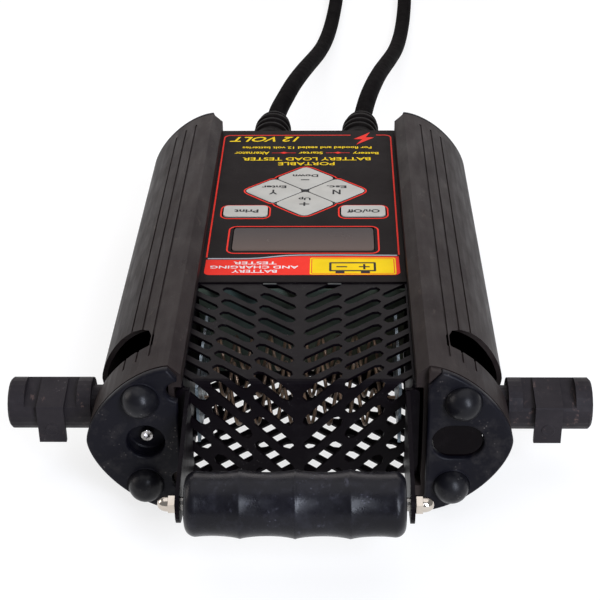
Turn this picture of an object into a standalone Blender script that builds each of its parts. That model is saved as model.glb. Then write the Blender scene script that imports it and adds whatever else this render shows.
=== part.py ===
"""Hand-carried load-type battery tester: chassis, perforated load box, key panel, two side housings,
carrying handle, clamp parking posts and two cables with battery clamps.

Lengths are in metres. Everything hangs from one empty on the grille's front face, 26.5 mm below the
panel: X runs across the panel, Y from the handle towards the cables, and Z up out of the panel.
"""
import math

import bmesh
import bpy
from mathutils import Matrix, Vector

# --- the assembly's own frame -------------------------------------------------------------------
HALF_HEIGHT = 0.042        # ridge of a side housing above and below its own middle
HOUSING_Z = -0.0018        # middle of the side housings
FLOOR_Z = HOUSING_Z - HALF_HEIGHT
HANDLE_TO_FRONT = 0.0781   # foremost point of the grip, in front of the grille
GLAND_TIP = 0.3505         # last point of the cable glands behind the grille
FRONT_Y = (HANDLE_TO_FRONT - GLAND_TIP) / 2

# --- clearances and stock -----------------------------------------------------------------------
GAP = 0.0003
SHEET = 0.0015
PLATE = 0.002

# --- chassis ------------------------------------------------------------------------------------
CHASSIS_HALF_WIDTH = 0.0572
CHASSIS_TOP = 0.0265
CHASSIS_BOTTOM = -0.0300
CHASSIS_HEIGHT = CHASSIS_TOP - CHASSIS_BOTTOM
LOAD_BOX_END = 0.0983
CHASSIS_END = 0.3048
SIDE_PLATE_X = CHASSIS_HALF_WIDTH + GAP + PLATE / 2

# --- grille slots: three columns each side of the centre, mirrored ------------------------------
SLOT_WIDTH = 0.00595
SLOT_ARC_STEPS = 3
SLOT_COLUMN_PITCH = 0.0207
SLOT_FIRST_TIP = 0.0021
SLOT_RUN = 0.01415         # across, between the centres of a slot's round ends
# Rows of slots in a column of the flat sheet: first inner end, step, number, and rise of a slot.
OUTER_ROWS = ((0.0068, 0.0130, 7, 0.0125), (-0.0081, 0, 1, 0.0143), (-0.0227, -0.0146, 3, 0.0146),
              (-0.0662, -0.0130, 7, 0.0126))
MIDDLE_ROWS = ((0.0131, 0.0130, 6, 0.0125), (-0.0010, 0, 1, 0.0134), (-0.0156, -0.0146, 3, 0.0146),
               (-0.0594, 0, 1, 0.0138), (-0.0728, -0.0130, 6, 0.0126))
BEND_RADIUS = 0.003
BEND_STEPS = 3
BEND_SAVING = BEND_RADIUS * (1 - math.pi / 4)   # what each half of a bend takes off the flat sheet
BOTTOM_START = -CHASSIS_HEIGHT + 3 * BEND_SAVING
GRILLE_EDGE = 0.0010       # plain margin round the perforated sheet

# --- side housings ------------------------------------------------------------------------------
RIDGE_X = 0.0622
HOUSING_HALF_WIDTH = 0.0421
HOUSING_EXPONENT = 1.6
HOUSING_INNER_X = 0.060
HOUSING_WALL = 0.0026
LIP_X = 0.0563             # the lips that reach over the edges of the chassis
LIP_UNDER = 0.02945
LIP_TOP = 0.0366
RIGHT_OFFSET = 0.0013      # the right housing stands a little further out
LAND_SWELL = 0.0008        # how far the lower ridge would reach past its flat land
LAND_INNER_X = 0.0600
HOUSING_FRONT = -0.0064
HOUSING_REAR = 0.3027
CAP_THICKNESS = 0.0046
REAR_CAP_THICKNESS = 0.003
CAP_INNER_X = {"left": 0.0580, "right": 0.0617}
GROOVE_X = (0.0728, 0.0796, 0.0862)
GROOVE_ENDS = (0.007, 0.2915)
GROOVE_DEPTH = 0.0007
GROOVE_WIDTH = 0.0013
OPENING_NEAR = 0.017
OPENING_FAR = 0.047
OPENING_HALF_HEIGHT = 0.0385
OPENING_START = 0.069
BUMPER_RADIUS = 0.0089
BUMPER_PLACES = {"left": ((0.0761, 0.0232), (0.0762, -0.0270)),
                 "right": ((0.0802, 0.0221), (0.0761, -0.0275))}
ROUND_HOLE = (0.0749, -0.0017)      # in the left cap, down to a screw
ROUND_HOLE_RADIUS = 0.0094
HOLE_FLOOR = -0.0020
HOLE_BOSS_RADIUS = 0.0118
LONG_HOLE = (0.0785, -0.0017)       # in the right cap, over a dark lens
LONG_HOLE_RADIUS = 0.0096
LONG_HOLE_HALF = 0.0031             # half the straight part of the long hole
CAP_NOTCHES = ((0.0580, 0.0276), (0.0580, -0.0248))
CAP_NOTCH_RADIUS = 0.0054
TIE_ROD_RADIUS = 0.0025
TIE_ROD_HEAD = (0.0033, 0.0033)     # radius, height

# --- clamp parking posts ------------------------------------------------------------------------
POST_Y = 0.027
POST_Z = -0.0038
POST_RADIUS = 0.0132
POST_NECK_RADIUS = 0.0092
POST_START = 0.1059
POST_END = 0.1482
POST_NECK_START = 0.082
NOTCH_X = (0.1129, 0.1397)
NOTCH_EDGE = (0.0149, 0.0012)       # front edge of the sloping notch floor, in (y, z)
NOTCH_SLOPE = math.radians(18)
SADDLE_X = 0.1257
SADDLE_WIDTH = 0.0137

# --- handle -------------------------------------------------------------------------------------
GRIP_Y = -0.062
GRIP_RADIUS = 0.0161
GRIP_HALF_LENGTH = 0.0509
GRIP_RIDGE_PITCH = 0.0254
GRIP_GROOVE_DEPTH = 0.0012
ROD_RADIUS = 0.0032
BRACKET_X = 0.0538         # middle of the bracket plates
BRACKET_TOP = 0.0235
BRACKET_END_RADIUS = 0.0088
FLANGE_OUTER_X = 0.0597

# --- control panel ------------------------------------------------------------------------------
PANEL_TOP = 0.0265
OVERLAY_THICKNESS = 0.0005
WINDOW = (0.0405, 0.135, 0.164)        # half width, near edge, far edge
DIAMOND_CENTRE_Y = 0.2141
DIAMOND_HALF = (0.038, 0.0355)
KEY_GAP = 0.0008
KEY_TRAVEL = 0.0008
KEY_TOP = 0.0276
KEY_BOTTOM = 0.0215
PAD_KEY_CENTRE = (0.03505, 0.1846)
PAD_KEY_SIZE = (0.0263, 0.0143)

# --- cables -------------------------------------------------------------------------------------
CABLE_RADIUS = 0.0064
GLAND_X = (-0.0260, 0.0335)
GLAND_LEAN = (0.0532, 0.0824)       # the soft reliefs bend to the right, beyond their flanges
GLAND_FLANGE = 0.006
GLAND_Z = 0.0125
GLAND_RADIUS = 0.0125
LOOP_RADIUS = 0.066
LOOP_STEPS = 16
TUBE_STEP = 0.026
CLAMP_PIVOT = (0.0, 0.088)
CLAMP_HALF_THICKNESS = 0.0105
CLAMP_SHEET = 0.0016
CLAMP_TAB_RADIUS = 0.006

# --- colours: red, green, blue, roughness, metallic ---------------------------------------------
COLOURS = {
    "painted_steel": (0.020, 0.019, 0.021, 0.42, 0.0),
    "housing": (0.050, 0.043, 0.040, 0.50, 0.0),
    "cap": (0.014, 0.016, 0.024, 0.38, 0.0),
    "rubber": (0.018, 0.019, 0.024, 0.45, 0.0),
    "grip": (0.022, 0.025, 0.034, 0.40, 0.0),
    "nickel": (0.80, 0.77, 0.70, 0.18, 1.0),
    "steel": (0.55, 0.54, 0.52, 0.30, 1.0),
    "overlay": (0.022, 0.020, 0.022, 0.45, 0.0),
    "key": (0.58, 0.60, 0.58, 0.50, 0.0),
    "display": (0.20, 0.22, 0.20, 0.15, 0.0),
    "board": (0.035, 0.055, 0.045, 0.55, 0.0),
    "coil_wire": (0.33, 0.21, 0.11, 0.35, 1.0),
    "tinned": (0.62, 0.68, 0.72, 0.25, 1.0),
    "ceramic": (0.75, 0.73, 0.68, 0.40, 0.0),
    "cable": (0.010, 0.010, 0.011, 0.42, 0.0),
    "red_plastic": (0.48, 0.02, 0.02, 0.40, 0.0),
    "black_plastic": (0.015, 0.015, 0.016, 0.40, 0.0),
    "copper": (0.72, 0.38, 0.22, 0.30, 1.0),
    "lens": (0.010, 0.002, 0.006, 0.08, 0.0),
}


# --- building blocks ----------------------------------------------------------------------------
def clear_scene():
    for obj in list(bpy.data.objects):
        bpy.data.objects.remove(obj, do_unlink=True)


def new_collection(name):
    collection = bpy.data.collections.new(name)
    bpy.context.scene.collection.children.link(collection)
    return collection


def material_for(name, kind):
    red, green, blue, roughness, metallic = COLOURS[kind]
    material = bpy.data.materials.new(name + "_material")
    material.use_nodes = True
    shader = material.node_tree.nodes["Principled BSDF"]
    shader.inputs["Base Color"].default_value = (red, green, blue, 1.0)
    shader.inputs["Roughness"].default_value = roughness
    shader.inputs["Metallic"].default_value = metallic
    material.diffuse_color = (red, green, blue, 1.0)
    return material


def part(name, mesh, kind, at=(0, 0, 0), turn=(0, 0, 0), parent=None):
    """Adds one sub-part under the assembly's empty, or under the empty of a moving piece."""
    mesh.name = name
    mesh.materials.clear()
    mesh.materials.append(material_for(name, kind))
    obj = bpy.data.objects.new(name, mesh)
    obj.location = at
    obj.rotation_euler = turn
    obj.parent = parent or assembly
    parts.objects.link(obj)
    mesh.shade_smooth()
    mesh.set_sharp_from_angle(angle=math.radians(35))
    return obj


def empty(name, at, turn=(0, 0, 0), parent=None):
    obj = bpy.data.objects.new(name, None)
    obj.location = at
    obj.rotation_euler = turn
    obj.parent = parent
    parts.objects.link(obj)
    return obj


def baked(source):
    """The evaluated mesh of an object or a curve, with its caps welded and its faces turned out."""
    if isinstance(source, bpy.types.Curve):
        source = bpy.data.objects.new("blank", source)
    if not source.users_collection:
        parts.objects.link(source)
    graph = bpy.context.evaluated_depsgraph_get()
    mesh = bpy.data.meshes.new_from_object(source.evaluated_get(graph))
    bpy.data.objects.remove(source, do_unlink=True)
    body = bmesh.new()
    body.from_mesh(mesh)
    bmesh.ops.remove_doubles(body, verts=body.verts, dist=0.000001)
    return finished(body)


def flat(outlines, thickness):
    """A plate in the XY plane: the first outline is its edge and the others are its holes."""
    curve = bpy.data.curves.new("outline", "CURVE")
    curve.dimensions = "2D"
    curve.fill_mode = "BOTH"
    curve.extrude = thickness / 2
    for outline in outlines:
        spline = curve.splines.new("POLY")
        spline.points.add(len(outline) - 1)
        for point, (x, y) in zip(spline.points, outline):
            point.co = (x, y, 0, 1)
        spline.use_cyclic_u = True
    return baked(curve)


def turned(profile, steps=16):
    """A solid turned about Z from an (radius, height) profile that runs down its outer side."""
    mesh = bpy.data.meshes.new("profile")
    edges = [(i, i + 1) for i in range(len(profile) - 1)]
    closed = profile[0][0] > 0
    if closed:
        edges.append((len(profile) - 1, 0))
    mesh.from_pydata([(r, 0, z) for r, z in profile], edges, [])
    blank = bpy.data.objects.new("profile", mesh)
    screw = blank.modifiers.new("turn", "SCREW")
    screw.steps = screw.render_steps = steps
    screw.use_merge_vertices = True
    screw.merge_threshold = 0.000001
    return baked(blank)


def box(low, high):
    """A box between two corners."""
    body = bmesh.new()
    bmesh.ops.create_cube(body, size=1)
    size = Vector(high) - Vector(low)
    middle = (Vector(high) + Vector(low)) / 2
    bmesh.ops.transform(body, matrix=Matrix.Translation(middle) @ Matrix.Diagonal((*size, 1)),
                        verts=body.verts)
    return finished(body)


def cylinder(radius, length, sides=16, far_radius=None):
    """A cylinder or cone along Z, centred on the origin."""
    body = bmesh.new()
    bmesh.ops.create_cone(body, cap_ends=True, segments=sides, radius1=radius,
                          radius2=radius if far_radius is None else far_radius, depth=length)
    return finished(body)


def finished(body):
    """Writes a bmesh out as a mesh, with all its faces turned outwards."""
    mesh = bpy.data.meshes.new("shape")
    bmesh.ops.recalc_face_normals(body, faces=body.faces)
    if body.calc_volume(signed=True) < 0:
        bmesh.ops.reverse_faces(body, faces=body.faces)
    body.to_mesh(mesh)
    body.free()
    return mesh


def combined(first, second, operation):
    """The Boolean of two meshes."""
    base = bpy.data.objects.new("base", first)
    tool = bpy.data.objects.new("tool", second)
    tool.hide_render = True
    tool.display_type = "WIRE"
    cutters.objects.link(tool)
    boolean = base.modifiers.new("boolean", "BOOLEAN")
    boolean.object = tool
    boolean.operation = operation
    mesh = baked(base)
    bpy.data.objects.remove(tool, do_unlink=True)
    return mesh


def moved(mesh, at=(0, 0, 0), turn=Matrix.Identity(4)):
    mesh.transform(Matrix.Translation(at) @ turn)
    return mesh


def mirrored(mesh):
    """The same shape on the other side of the YZ plane."""
    copy = mesh.copy()
    copy.transform(Matrix.Diagonal((-1, 1, 1, 1)))
    copy.flip_normals()
    return copy


def arc(centre, radius, start, stop, steps):
    """Points on an arc, angles in degrees, both ends included."""
    angles = [math.radians(start + (stop - start) * i / steps) for i in range(steps + 1)]
    return [(centre[0] + radius * math.cos(a), centre[1] + radius * math.sin(a)) for a in angles]


def circle(centre, radius, sides=20):
    return arc(centre, radius, 0, 360, sides)[:-1]


def filleted(corners, steps=3):
    """An outline from (x, y, radius) corners, each rounded with its own radius."""
    outline = []
    for i, (x, y, radius) in enumerate(corners):
        here = Vector((x, y))
        before = Vector(corners[i - 1][:2]) - here
        after = Vector(corners[(i + 1) % len(corners)][:2]) - here
        if radius == 0:
            outline.append((x, y))
            continue
        half = before.angle(after) / 2
        reach = radius / math.tan(half)
        middle = here + (before.normalized() + after.normalized()).normalized() * radius / math.sin(half)
        start = here + before.normalized() * reach - middle
        stop = here + after.normalized() * reach - middle
        turn = start.angle_signed(stop)
        for k in range(steps + 1):
            spoke = start.copy()
            spoke.rotate(Matrix.Rotation(-turn * k / steps, 2))
            outline.append(tuple(middle + spoke))
    return outline


def rectangle(x0, y0, x1, y1, radius=0.0, steps=3):
    corners = [(x0, y0, radius), (x1, y0, radius), (x1, y1, radius), (x0, y1, radius)]
    return filleted(corners, steps)


UPRIGHT_YZ = Matrix.Rotation(math.pi / 2, 4, "Z") @ Matrix.Rotation(math.pi / 2, 4, "X")
UPRIGHT_XZ = Matrix.Rotation(math.pi / 2, 4, "X")
ALONG_X = Matrix.Rotation(math.pi / 2, 4, "Y")


def in_yz(outlines, x0, x1):
    """A plate whose outline is in (y, z), from x0 to x1."""
    return moved(flat(outlines, x1 - x0), ((x0 + x1) / 2, 0, 0), UPRIGHT_YZ)


def in_xz(outlines, y0, y1):
    """A plate whose outline is in (x, z), from y0 to y1."""
    return moved(flat(outlines, y1 - y0), (0, (y0 + y1) / 2, 0), UPRIGHT_XZ)


def in_xy(outlines, z0, z1):
    """A plate whose outline is in (x, y), from z0 to z1."""
    return moved(flat(outlines, z1 - z0), (0, 0, (z0 + z1) / 2))


def smooth_line(points, step):
    """Points at even steps along a Catmull-Rom curve through the given points."""
    knots = [Vector(p) for p in points]
    knots = [2 * knots[0] - knots[1], *knots, 2 * knots[-1] - knots[-2]]
    fine = []
    for a, b, c, d in zip(knots, knots[1:], knots[2:], knots[3:]):
        for i in range(12):
            t = i / 12
            fine.append(0.5 * (2 * b + (c - a) * t + (2 * a - 5 * b + 4 * c - d) * t ** 2
                               + (3 * b - a - 3 * c + d) * t ** 3))
    fine.append(knots[-2])
    total = sum((q - p).length for p, q in zip(fine, fine[1:]))
    count = max(2, round(total / step))
    even, along, index = [fine[0]], 0.0, 0
    for k in range(1, count):
        target = total * k / count
        while along + (fine[index + 1] - fine[index]).length < target:
            along += (fine[index + 1] - fine[index]).length
            index += 1
        span = fine[index + 1] - fine[index]
        even.append(fine[index] + span.normalized() * (target - along))
    even.append(fine[-1])
    return even


def tube(points, radius, resolution=2):
    """A round tube with closed ends along a list of points."""
    curve = bpy.data.curves.new("tube", "CURVE")
    curve.dimensions = "3D"
    curve.bevel_depth = radius
    curve.bevel_resolution = resolution
    curve.use_fill_caps = True
    spline = curve.splines.new("POLY")
    spline.points.add(len(points) - 1)
    for point, place in zip(spline.points, points):
        point.co = (*place, 1)
    return baked(curve)


# --- chassis ------------------------------------------------------------------------------------
def slot(tip_x, u, rise, steps=SLOT_ARC_STEPS):
    """A slanted slot's outline in the flat sheet, from its inner end at tip_x and u, up and out."""
    radius = SLOT_WIDTH / 2
    inner = (tip_x + radius, u)
    outer = (inner[0] + SLOT_RUN, u + rise)
    heading = math.degrees(math.atan2(rise, SLOT_RUN))
    return (arc(outer, radius, heading - 90, heading + 90, steps)
            + arc(inner, radius, heading + 90, heading + 270, steps))


def clipped(outline, axis, limit):
    """The part of an outline where its coordinate on the axis is below the limit."""
    kept = []
    for start, end in zip(outline, outline[1:] + outline[:1]):
        before, after = start[axis] - limit, end[axis] - limit
        if before <= 0:
            kept.append(start)
        if before * after < 0:
            share = before / (before - after)
            kept.append(tuple(a + (b - a) * share for a, b in zip(start, end)))
    return kept


def grille_slots():
    """Slot outlines in the flat sheet: u is 0 at the top bend, grows over the top and falls down
    the front to the bottom bend, and on along the bottom."""
    side_limit = CHASSIS_HALF_WIDTH - GRILLE_EDGE
    end_limit = LOAD_BOX_END - BEND_SAVING - GRILLE_EDGE
    outlines = []
    for column in range(3):
        tip_x = SLOT_FIRST_TIP + SLOT_COLUMN_PITCH * column
        for first, step, number, rise in MIDDLE_ROWS if column == 1 else OUTER_ROWS:
            for row in range(number):
                outline = slot(tip_x, first + step * row, rise)
                outlines.append(clipped(clipped(outline, 0, side_limit), 1, end_limit))
    return outlines + [[(-x, u) for x, u in o] for o in outlines]


def fold(point):
    """Carries a point of the flat sheet (x, u, depth) round the two bends of the load box."""
    x, u, depth = point
    arc_length = BEND_RADIUS * math.pi / 2
    straight = CHASSIS_HEIGHT - 2 * BEND_RADIUS
    top = arc_length / 2
    r = BEND_RADIUS + depth
    if u >= top:
        return (x, u - top + BEND_RADIUS, CHASSIS_TOP + depth)
    u = top - u
    if u <= arc_length:
        turn = u / BEND_RADIUS
        return (x, BEND_RADIUS - r * math.sin(turn), CHASSIS_TOP - BEND_RADIUS + r * math.cos(turn))
    u -= arc_length
    if u <= straight:
        return (x, -depth, CHASSIS_TOP - BEND_RADIUS - u)
    u -= straight
    if u <= arc_length:
        turn = u / BEND_RADIUS
        return (x, BEND_RADIUS - r * math.cos(turn), CHASSIS_BOTTOM + BEND_RADIUS - r * math.sin(turn))
    return (x, BEND_RADIUS + u - arc_length, CHASSIS_BOTTOM - depth)


def make_grille_cover():
    """One perforated sheet folded over the top, front and bottom of the load box."""
    bend = BEND_RADIUS * math.pi / 2
    bottom_bend = -(CHASSIS_HEIGHT - 2 * BEND_RADIUS) - bend
    half = CHASSIS_HALF_WIDTH
    edge = rectangle(-half, BOTTOM_START - LOAD_BOX_END, half, LOAD_BOX_END - BEND_SAVING)
    sheet = flat([edge] + grille_slots(), SHEET)
    body = bmesh.new()
    body.from_mesh(sheet)
    for start in (bend / 2, bottom_bend + bend / 2):
        for k in range(BEND_STEPS + 1):
            cut = start - bend * k / BEND_STEPS
            bmesh.ops.bisect_plane(body, geom=body.verts[:] + body.edges[:] + body.faces[:],
                                   plane_co=(0, cut, 0), plane_no=(0, 1, 0), dist=0.000002)
    for vert in body.verts:
        vert.co = fold((vert.co.x, vert.co.y, vert.co.z - SHEET / 2))
    part("grille_cover", finished(body), "painted_steel")


def make_chassis():
    low, high = CHASSIS_BOTTOM, CHASSIS_TOP
    side = in_yz([filleted([(0, low, 0.003), (CHASSIS_END, low, 0), (CHASSIS_END, high, 0),
                            (0, high, 0.003)])],
                 SIDE_PLATE_X - PLATE / 2, SIDE_PLATE_X + PLATE / 2)
    part("side_plate_right", side, "painted_steel")
    part("side_plate_left", mirrored(side), "painted_steel")
    half = CHASSIS_HALF_WIDTH
    start = LOAD_BOX_END + GAP
    part("bottom_panel", box((-half, start, low), (half, CHASSIS_END, low + SHEET)), "painted_steel")
    lead_holes = [circle((x, GLAND_Z), 0.0077, 16) for x in GLAND_X]
    back = rectangle(-half - PLATE, low, half + PLATE, high, 0.002)
    part("rear_panel", in_xz([back] + lead_holes, CHASSIS_END + GAP, CHASSIS_END + GAP + SHEET),
         "painted_steel")
    part("partition_board", box((-half + 0.001, 0.0945, low + 0.002),
                                (half - 0.001, 0.0961, high - 0.002)), "board")


def make_load_parts():
    """Resistance-wire load coils between two bus bars."""
    turns, radius, reach = 14, 0.0105, 0.0455
    points_per_turn = 6
    count = turns * points_per_turn
    for index, y in enumerate((0.022, 0.048, 0.074)):
        line = []
        for i in range(count + 1):
            angle = 2 * math.pi * i / points_per_turn
            line.append((-reach + 2 * reach * i / count, y + radius * math.cos(angle),
                         -0.003 + radius * math.sin(angle)))
        line = [(-0.0495, *line[0][1:])] + line + [(0.0495, *line[-1][1:])]
        part(f"load_coil_{index + 1}", tube(line, 0.0008, 0), "coil_wire")
    bar = box((0.0500, 0.010, -0.0165), (0.0515, 0.088, 0.0165))
    part("bus_bar_right", bar, "tinned")
    part("bus_bar_left", mirrored(bar), "tinned")


# --- side housings ------------------------------------------------------------------------------
def d_outline(inset, steps, inner, land=False):
    """The D section of a housing, in (x, z): a pointed outer curve, closed by the inner points,
    which are given for the upper half and mirrored to the lower one.
    With a land, the lower ridge is cut flat, so that the housing stands on it."""
    width = HOUSING_HALF_WIDTH - inset
    height = HALF_HEIGHT - inset * 1.3
    power = 2 / HOUSING_EXPONENT
    outline = []
    for i in range(steps + 1):
        angle = math.pi * (0.5 - i / steps)
        swell = LAND_SWELL if land and angle < 0 else 0.0
        x = RIDGE_X + width * abs(math.cos(angle)) ** power
        z = math.copysign((height + swell) * abs(math.sin(angle)) ** power, angle)
        if land and z <= -HALF_HEIGHT:
            outline += [(x, -HALF_HEIGHT), (LAND_INNER_X, -HALF_HEIGHT)]
            break
        outline.append((x, z))
    outline += [(x, -z) for x, z in reversed(inner)] + inner
    return unique([(x, z + HOUSING_Z) for x, z in outline])


def unique(outline):
    """The outline without points that coincide."""
    kept = [outline[0]]
    for point in outline[1:]:
        if (Vector(point) - Vector(kept[-1])).length > 0.0002:
            kept.append(point)
    return kept


def outer_z(x):
    """Height of the housing's outer surface at x."""
    share = (x - RIDGE_X) / HOUSING_HALF_WIDTH
    return HOUSING_Z + HALF_HEIGHT * (1 - share ** HOUSING_EXPONENT) ** (1 / HOUSING_EXPONENT)


def on_side(mesh, side):
    """A piece of the right housing set at its place, or mirrored to the left."""
    return moved(mesh, (RIGHT_OFFSET, 0, 0)) if side == "right" else mirrored(mesh)


def make_housings():
    lips = [(HOUSING_INNER_X, LIP_UNDER), (LIP_X, LIP_UNDER), (LIP_X, LIP_TOP)]
    outer = d_outline(0, 28, lips, land=True)
    inner = d_outline(HOUSING_WALL, 18, [(HOUSING_INNER_X + HOUSING_WALL, LIP_TOP - HOUSING_WALL)])
    shell = in_xz([outer, inner], HOUSING_FRONT, HOUSING_REAR)
    low, high = HOUSING_Z - OPENING_HALF_HEIGHT, HOUSING_Z + OPENING_HALF_HEIGHT
    opening = in_yz([filleted([(OPENING_NEAR, low, 0.001), (OPENING_FAR, low, 0.020),
                               (OPENING_FAR, high, 0.020), (OPENING_NEAR, high, 0.001)], 5)],
                    OPENING_START, 0.112)
    shell = combined(shell, opening, "DIFFERENCE")
    near, far = GROOVE_ENDS
    for x in GROOVE_X:
        slope = math.atan2(outer_z(x + 0.001) - outer_z(x - 0.001), 0.002)
        blade = box((-GROOVE_WIDTH / 2, near, -GROOVE_DEPTH), (GROOVE_WIDTH / 2, far, 0.003))
        shell = combined(shell, moved(blade, (x, 0, outer_z(x)), Matrix.Rotation(-slope, 4, "Y")),
                         "DIFFERENCE")
    for side in ("right", "left"):
        part(f"housing_{side}", on_side(shell.copy(), side), "housing")


def long_outline(radius):
    """The outline of the right cap's long hole, or of the lens in it."""
    x, z = LONG_HOLE
    return (arc((x + LONG_HOLE_HALF, z), radius, -90, 90, 8)
            + arc((x - LONG_HOLE_HALF, z), radius, 90, 270, 8))


def cap_outline(side, inner_x):
    """The edge of a cap, which follows the housing it closes."""
    outline = d_outline(0, 28, [(inner_x, LIP_TOP)])
    if side == "left":
        return outline
    return [(x + RIGHT_OFFSET, z) for x, z in outline]


def make_front_caps():
    back = HOUSING_FRONT - GAP
    front = back - CAP_THICKNESS
    outlines = [cap_outline("right", CAP_INNER_X["right"]), long_outline(LONG_HOLE_RADIUS)]
    part("front_cap_right", in_xz(outlines, front, back), "cap")
    part("infrared_lens", in_xz([long_outline(LONG_HOLE_RADIUS - GAP)], front + 0.0025,
                                front + 0.0040), "lens")

    boss_end = HOLE_FLOOR + 0.0015
    boss = in_xz([circle(ROUND_HOLE, HOLE_BOSS_RADIUS, 24)], back - 0.001, boss_end)
    cap = in_xz([cap_outline("left", CAP_INNER_X["left"])], front, back)
    cap = combined(cap, boss, "UNION")
    cuts = [(ROUND_HOLE, ROUND_HOLE_RADIUS, HOLE_FLOOR), (ROUND_HOLE, TIE_ROD_RADIUS + GAP, 0.01)]
    cuts += [(notch, CAP_NOTCH_RADIUS, 0.01) for notch in CAP_NOTCHES]
    for centre, radius, end in cuts:
        cap = combined(cap, in_xz([circle(centre, radius, 24)], front - 0.01, end), "DIFFERENCE")
    part("front_cap_left", mirrored(cap), "cap")

    dome = [(BUMPER_RADIUS * math.sin(a), BUMPER_RADIUS * math.cos(a))
            for a in (math.radians(15 * i) for i in range(7))]
    bumper = turned(dome + [(0, 0)], 18)
    for side, sign in (("right", 1), ("left", -1)):
        for level, (x, z) in zip(("upper", "lower"), BUMPER_PLACES[side]):
            part(f"{level}_bumper_{side}", bumper.copy(), "rubber", (sign * x, front - GAP, z),
                 (math.pi / 2, 0, 0))


def make_rear_caps():
    start = HOUSING_REAR + GAP
    for side, centre in (("right", LONG_HOLE), ("left", ROUND_HOLE)):
        hole = circle(centre, TIE_ROD_RADIUS + 0.001, 12)
        rear = in_xz([cap_outline(side, HOUSING_INNER_X), hole], start, start + REAR_CAP_THICKNESS)
        part(f"rear_cap_{side}", rear if side == "right" else mirrored(rear), "cap")


def make_tie_rods():
    """A long socket screw through each housing; the left one's head shows in the cap's hole."""
    radius, height = TIE_ROD_HEAD
    length = HOUSING_REAR - HOLE_FLOOR + REAR_CAP_THICKNESS
    profile = [(0, height), (radius - 0.0004, height), (radius, height - 0.0004), (radius, 0),
               (TIE_ROD_RADIUS, 0), (TIE_ROD_RADIUS, -length), (0, -length)]
    socket = moved(cylinder(0.0017, 0.004, 6), (0, 0, height))
    rod = combined(turned(profile, 16), socket, "DIFFERENCE")
    for side, x, z in (("left", -ROUND_HOLE[0], ROUND_HOLE[1]), ("right", *LONG_HOLE)):
        part(f"tie_rod_{side}", rod.copy(), "nickel", (x, HOLE_FLOOR - GAP, z), (math.pi / 2, 0, 0))


def make_posts():
    """Insulating posts at the sides that the battery clamps grip when they are put away."""
    notch = moved(box((NOTCH_X[0], -0.02, 0), (NOTCH_X[1], 0.04, 0.03)),
                  (0, NOTCH_EDGE[0] - POST_Y, NOTCH_EDGE[1] - POST_Z),
                  Matrix.Rotation(NOTCH_SLOPE, 4, "X"))
    profile = [(0, POST_END), (POST_RADIUS - 0.0012, POST_END), (POST_RADIUS, POST_END - 0.0012),
               (POST_RADIUS, POST_START), (POST_NECK_RADIUS, POST_START),
               (POST_NECK_RADIUS, POST_NECK_START), (0, POST_NECK_START)]
    post = combined(moved(turned(profile, 24), (0, 0, 0), ALONG_X), notch, "DIFFERENCE")
    front = POST_Y - POST_RADIUS - GAP

    def floor(y):
        return NOTCH_EDGE[1] + (y - NOTCH_EDGE[0]) * math.tan(NOTCH_SLOPE) + 1.2 * GAP

    saddle = in_yz([filleted([(front, -0.0175, 0.0006), (front, floor(front), 0),
                              (0.0332, floor(0.0332), 0), (0.0326, 0.0083, 0.0003),
                              (front - 0.0029, 0.0038, 0.001), (front - 0.0029, -0.0175, 0.0006)])],
                   SADDLE_X - SADDLE_WIDTH / 2, SADDLE_X + SADDLE_WIDTH / 2)
    for side in ("right", "left"):
        shapes = (post, saddle) if side == "right" else (mirrored(post), mirrored(saddle))
        part(f"clamp_post_{side}", shapes[0], "black_plastic", (0, POST_Y, POST_Z))
        part(f"post_saddle_{side}", shapes[1], "black_plastic")


# --- handle -------------------------------------------------------------------------------------
def grip_radius(x):
    """Finger grooves between sharp ridges."""
    return GRIP_RADIUS - GRIP_GROOVE_DEPTH * abs(math.sin(math.pi * x / GRIP_RIDGE_PITCH)) ** 0.8


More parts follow.
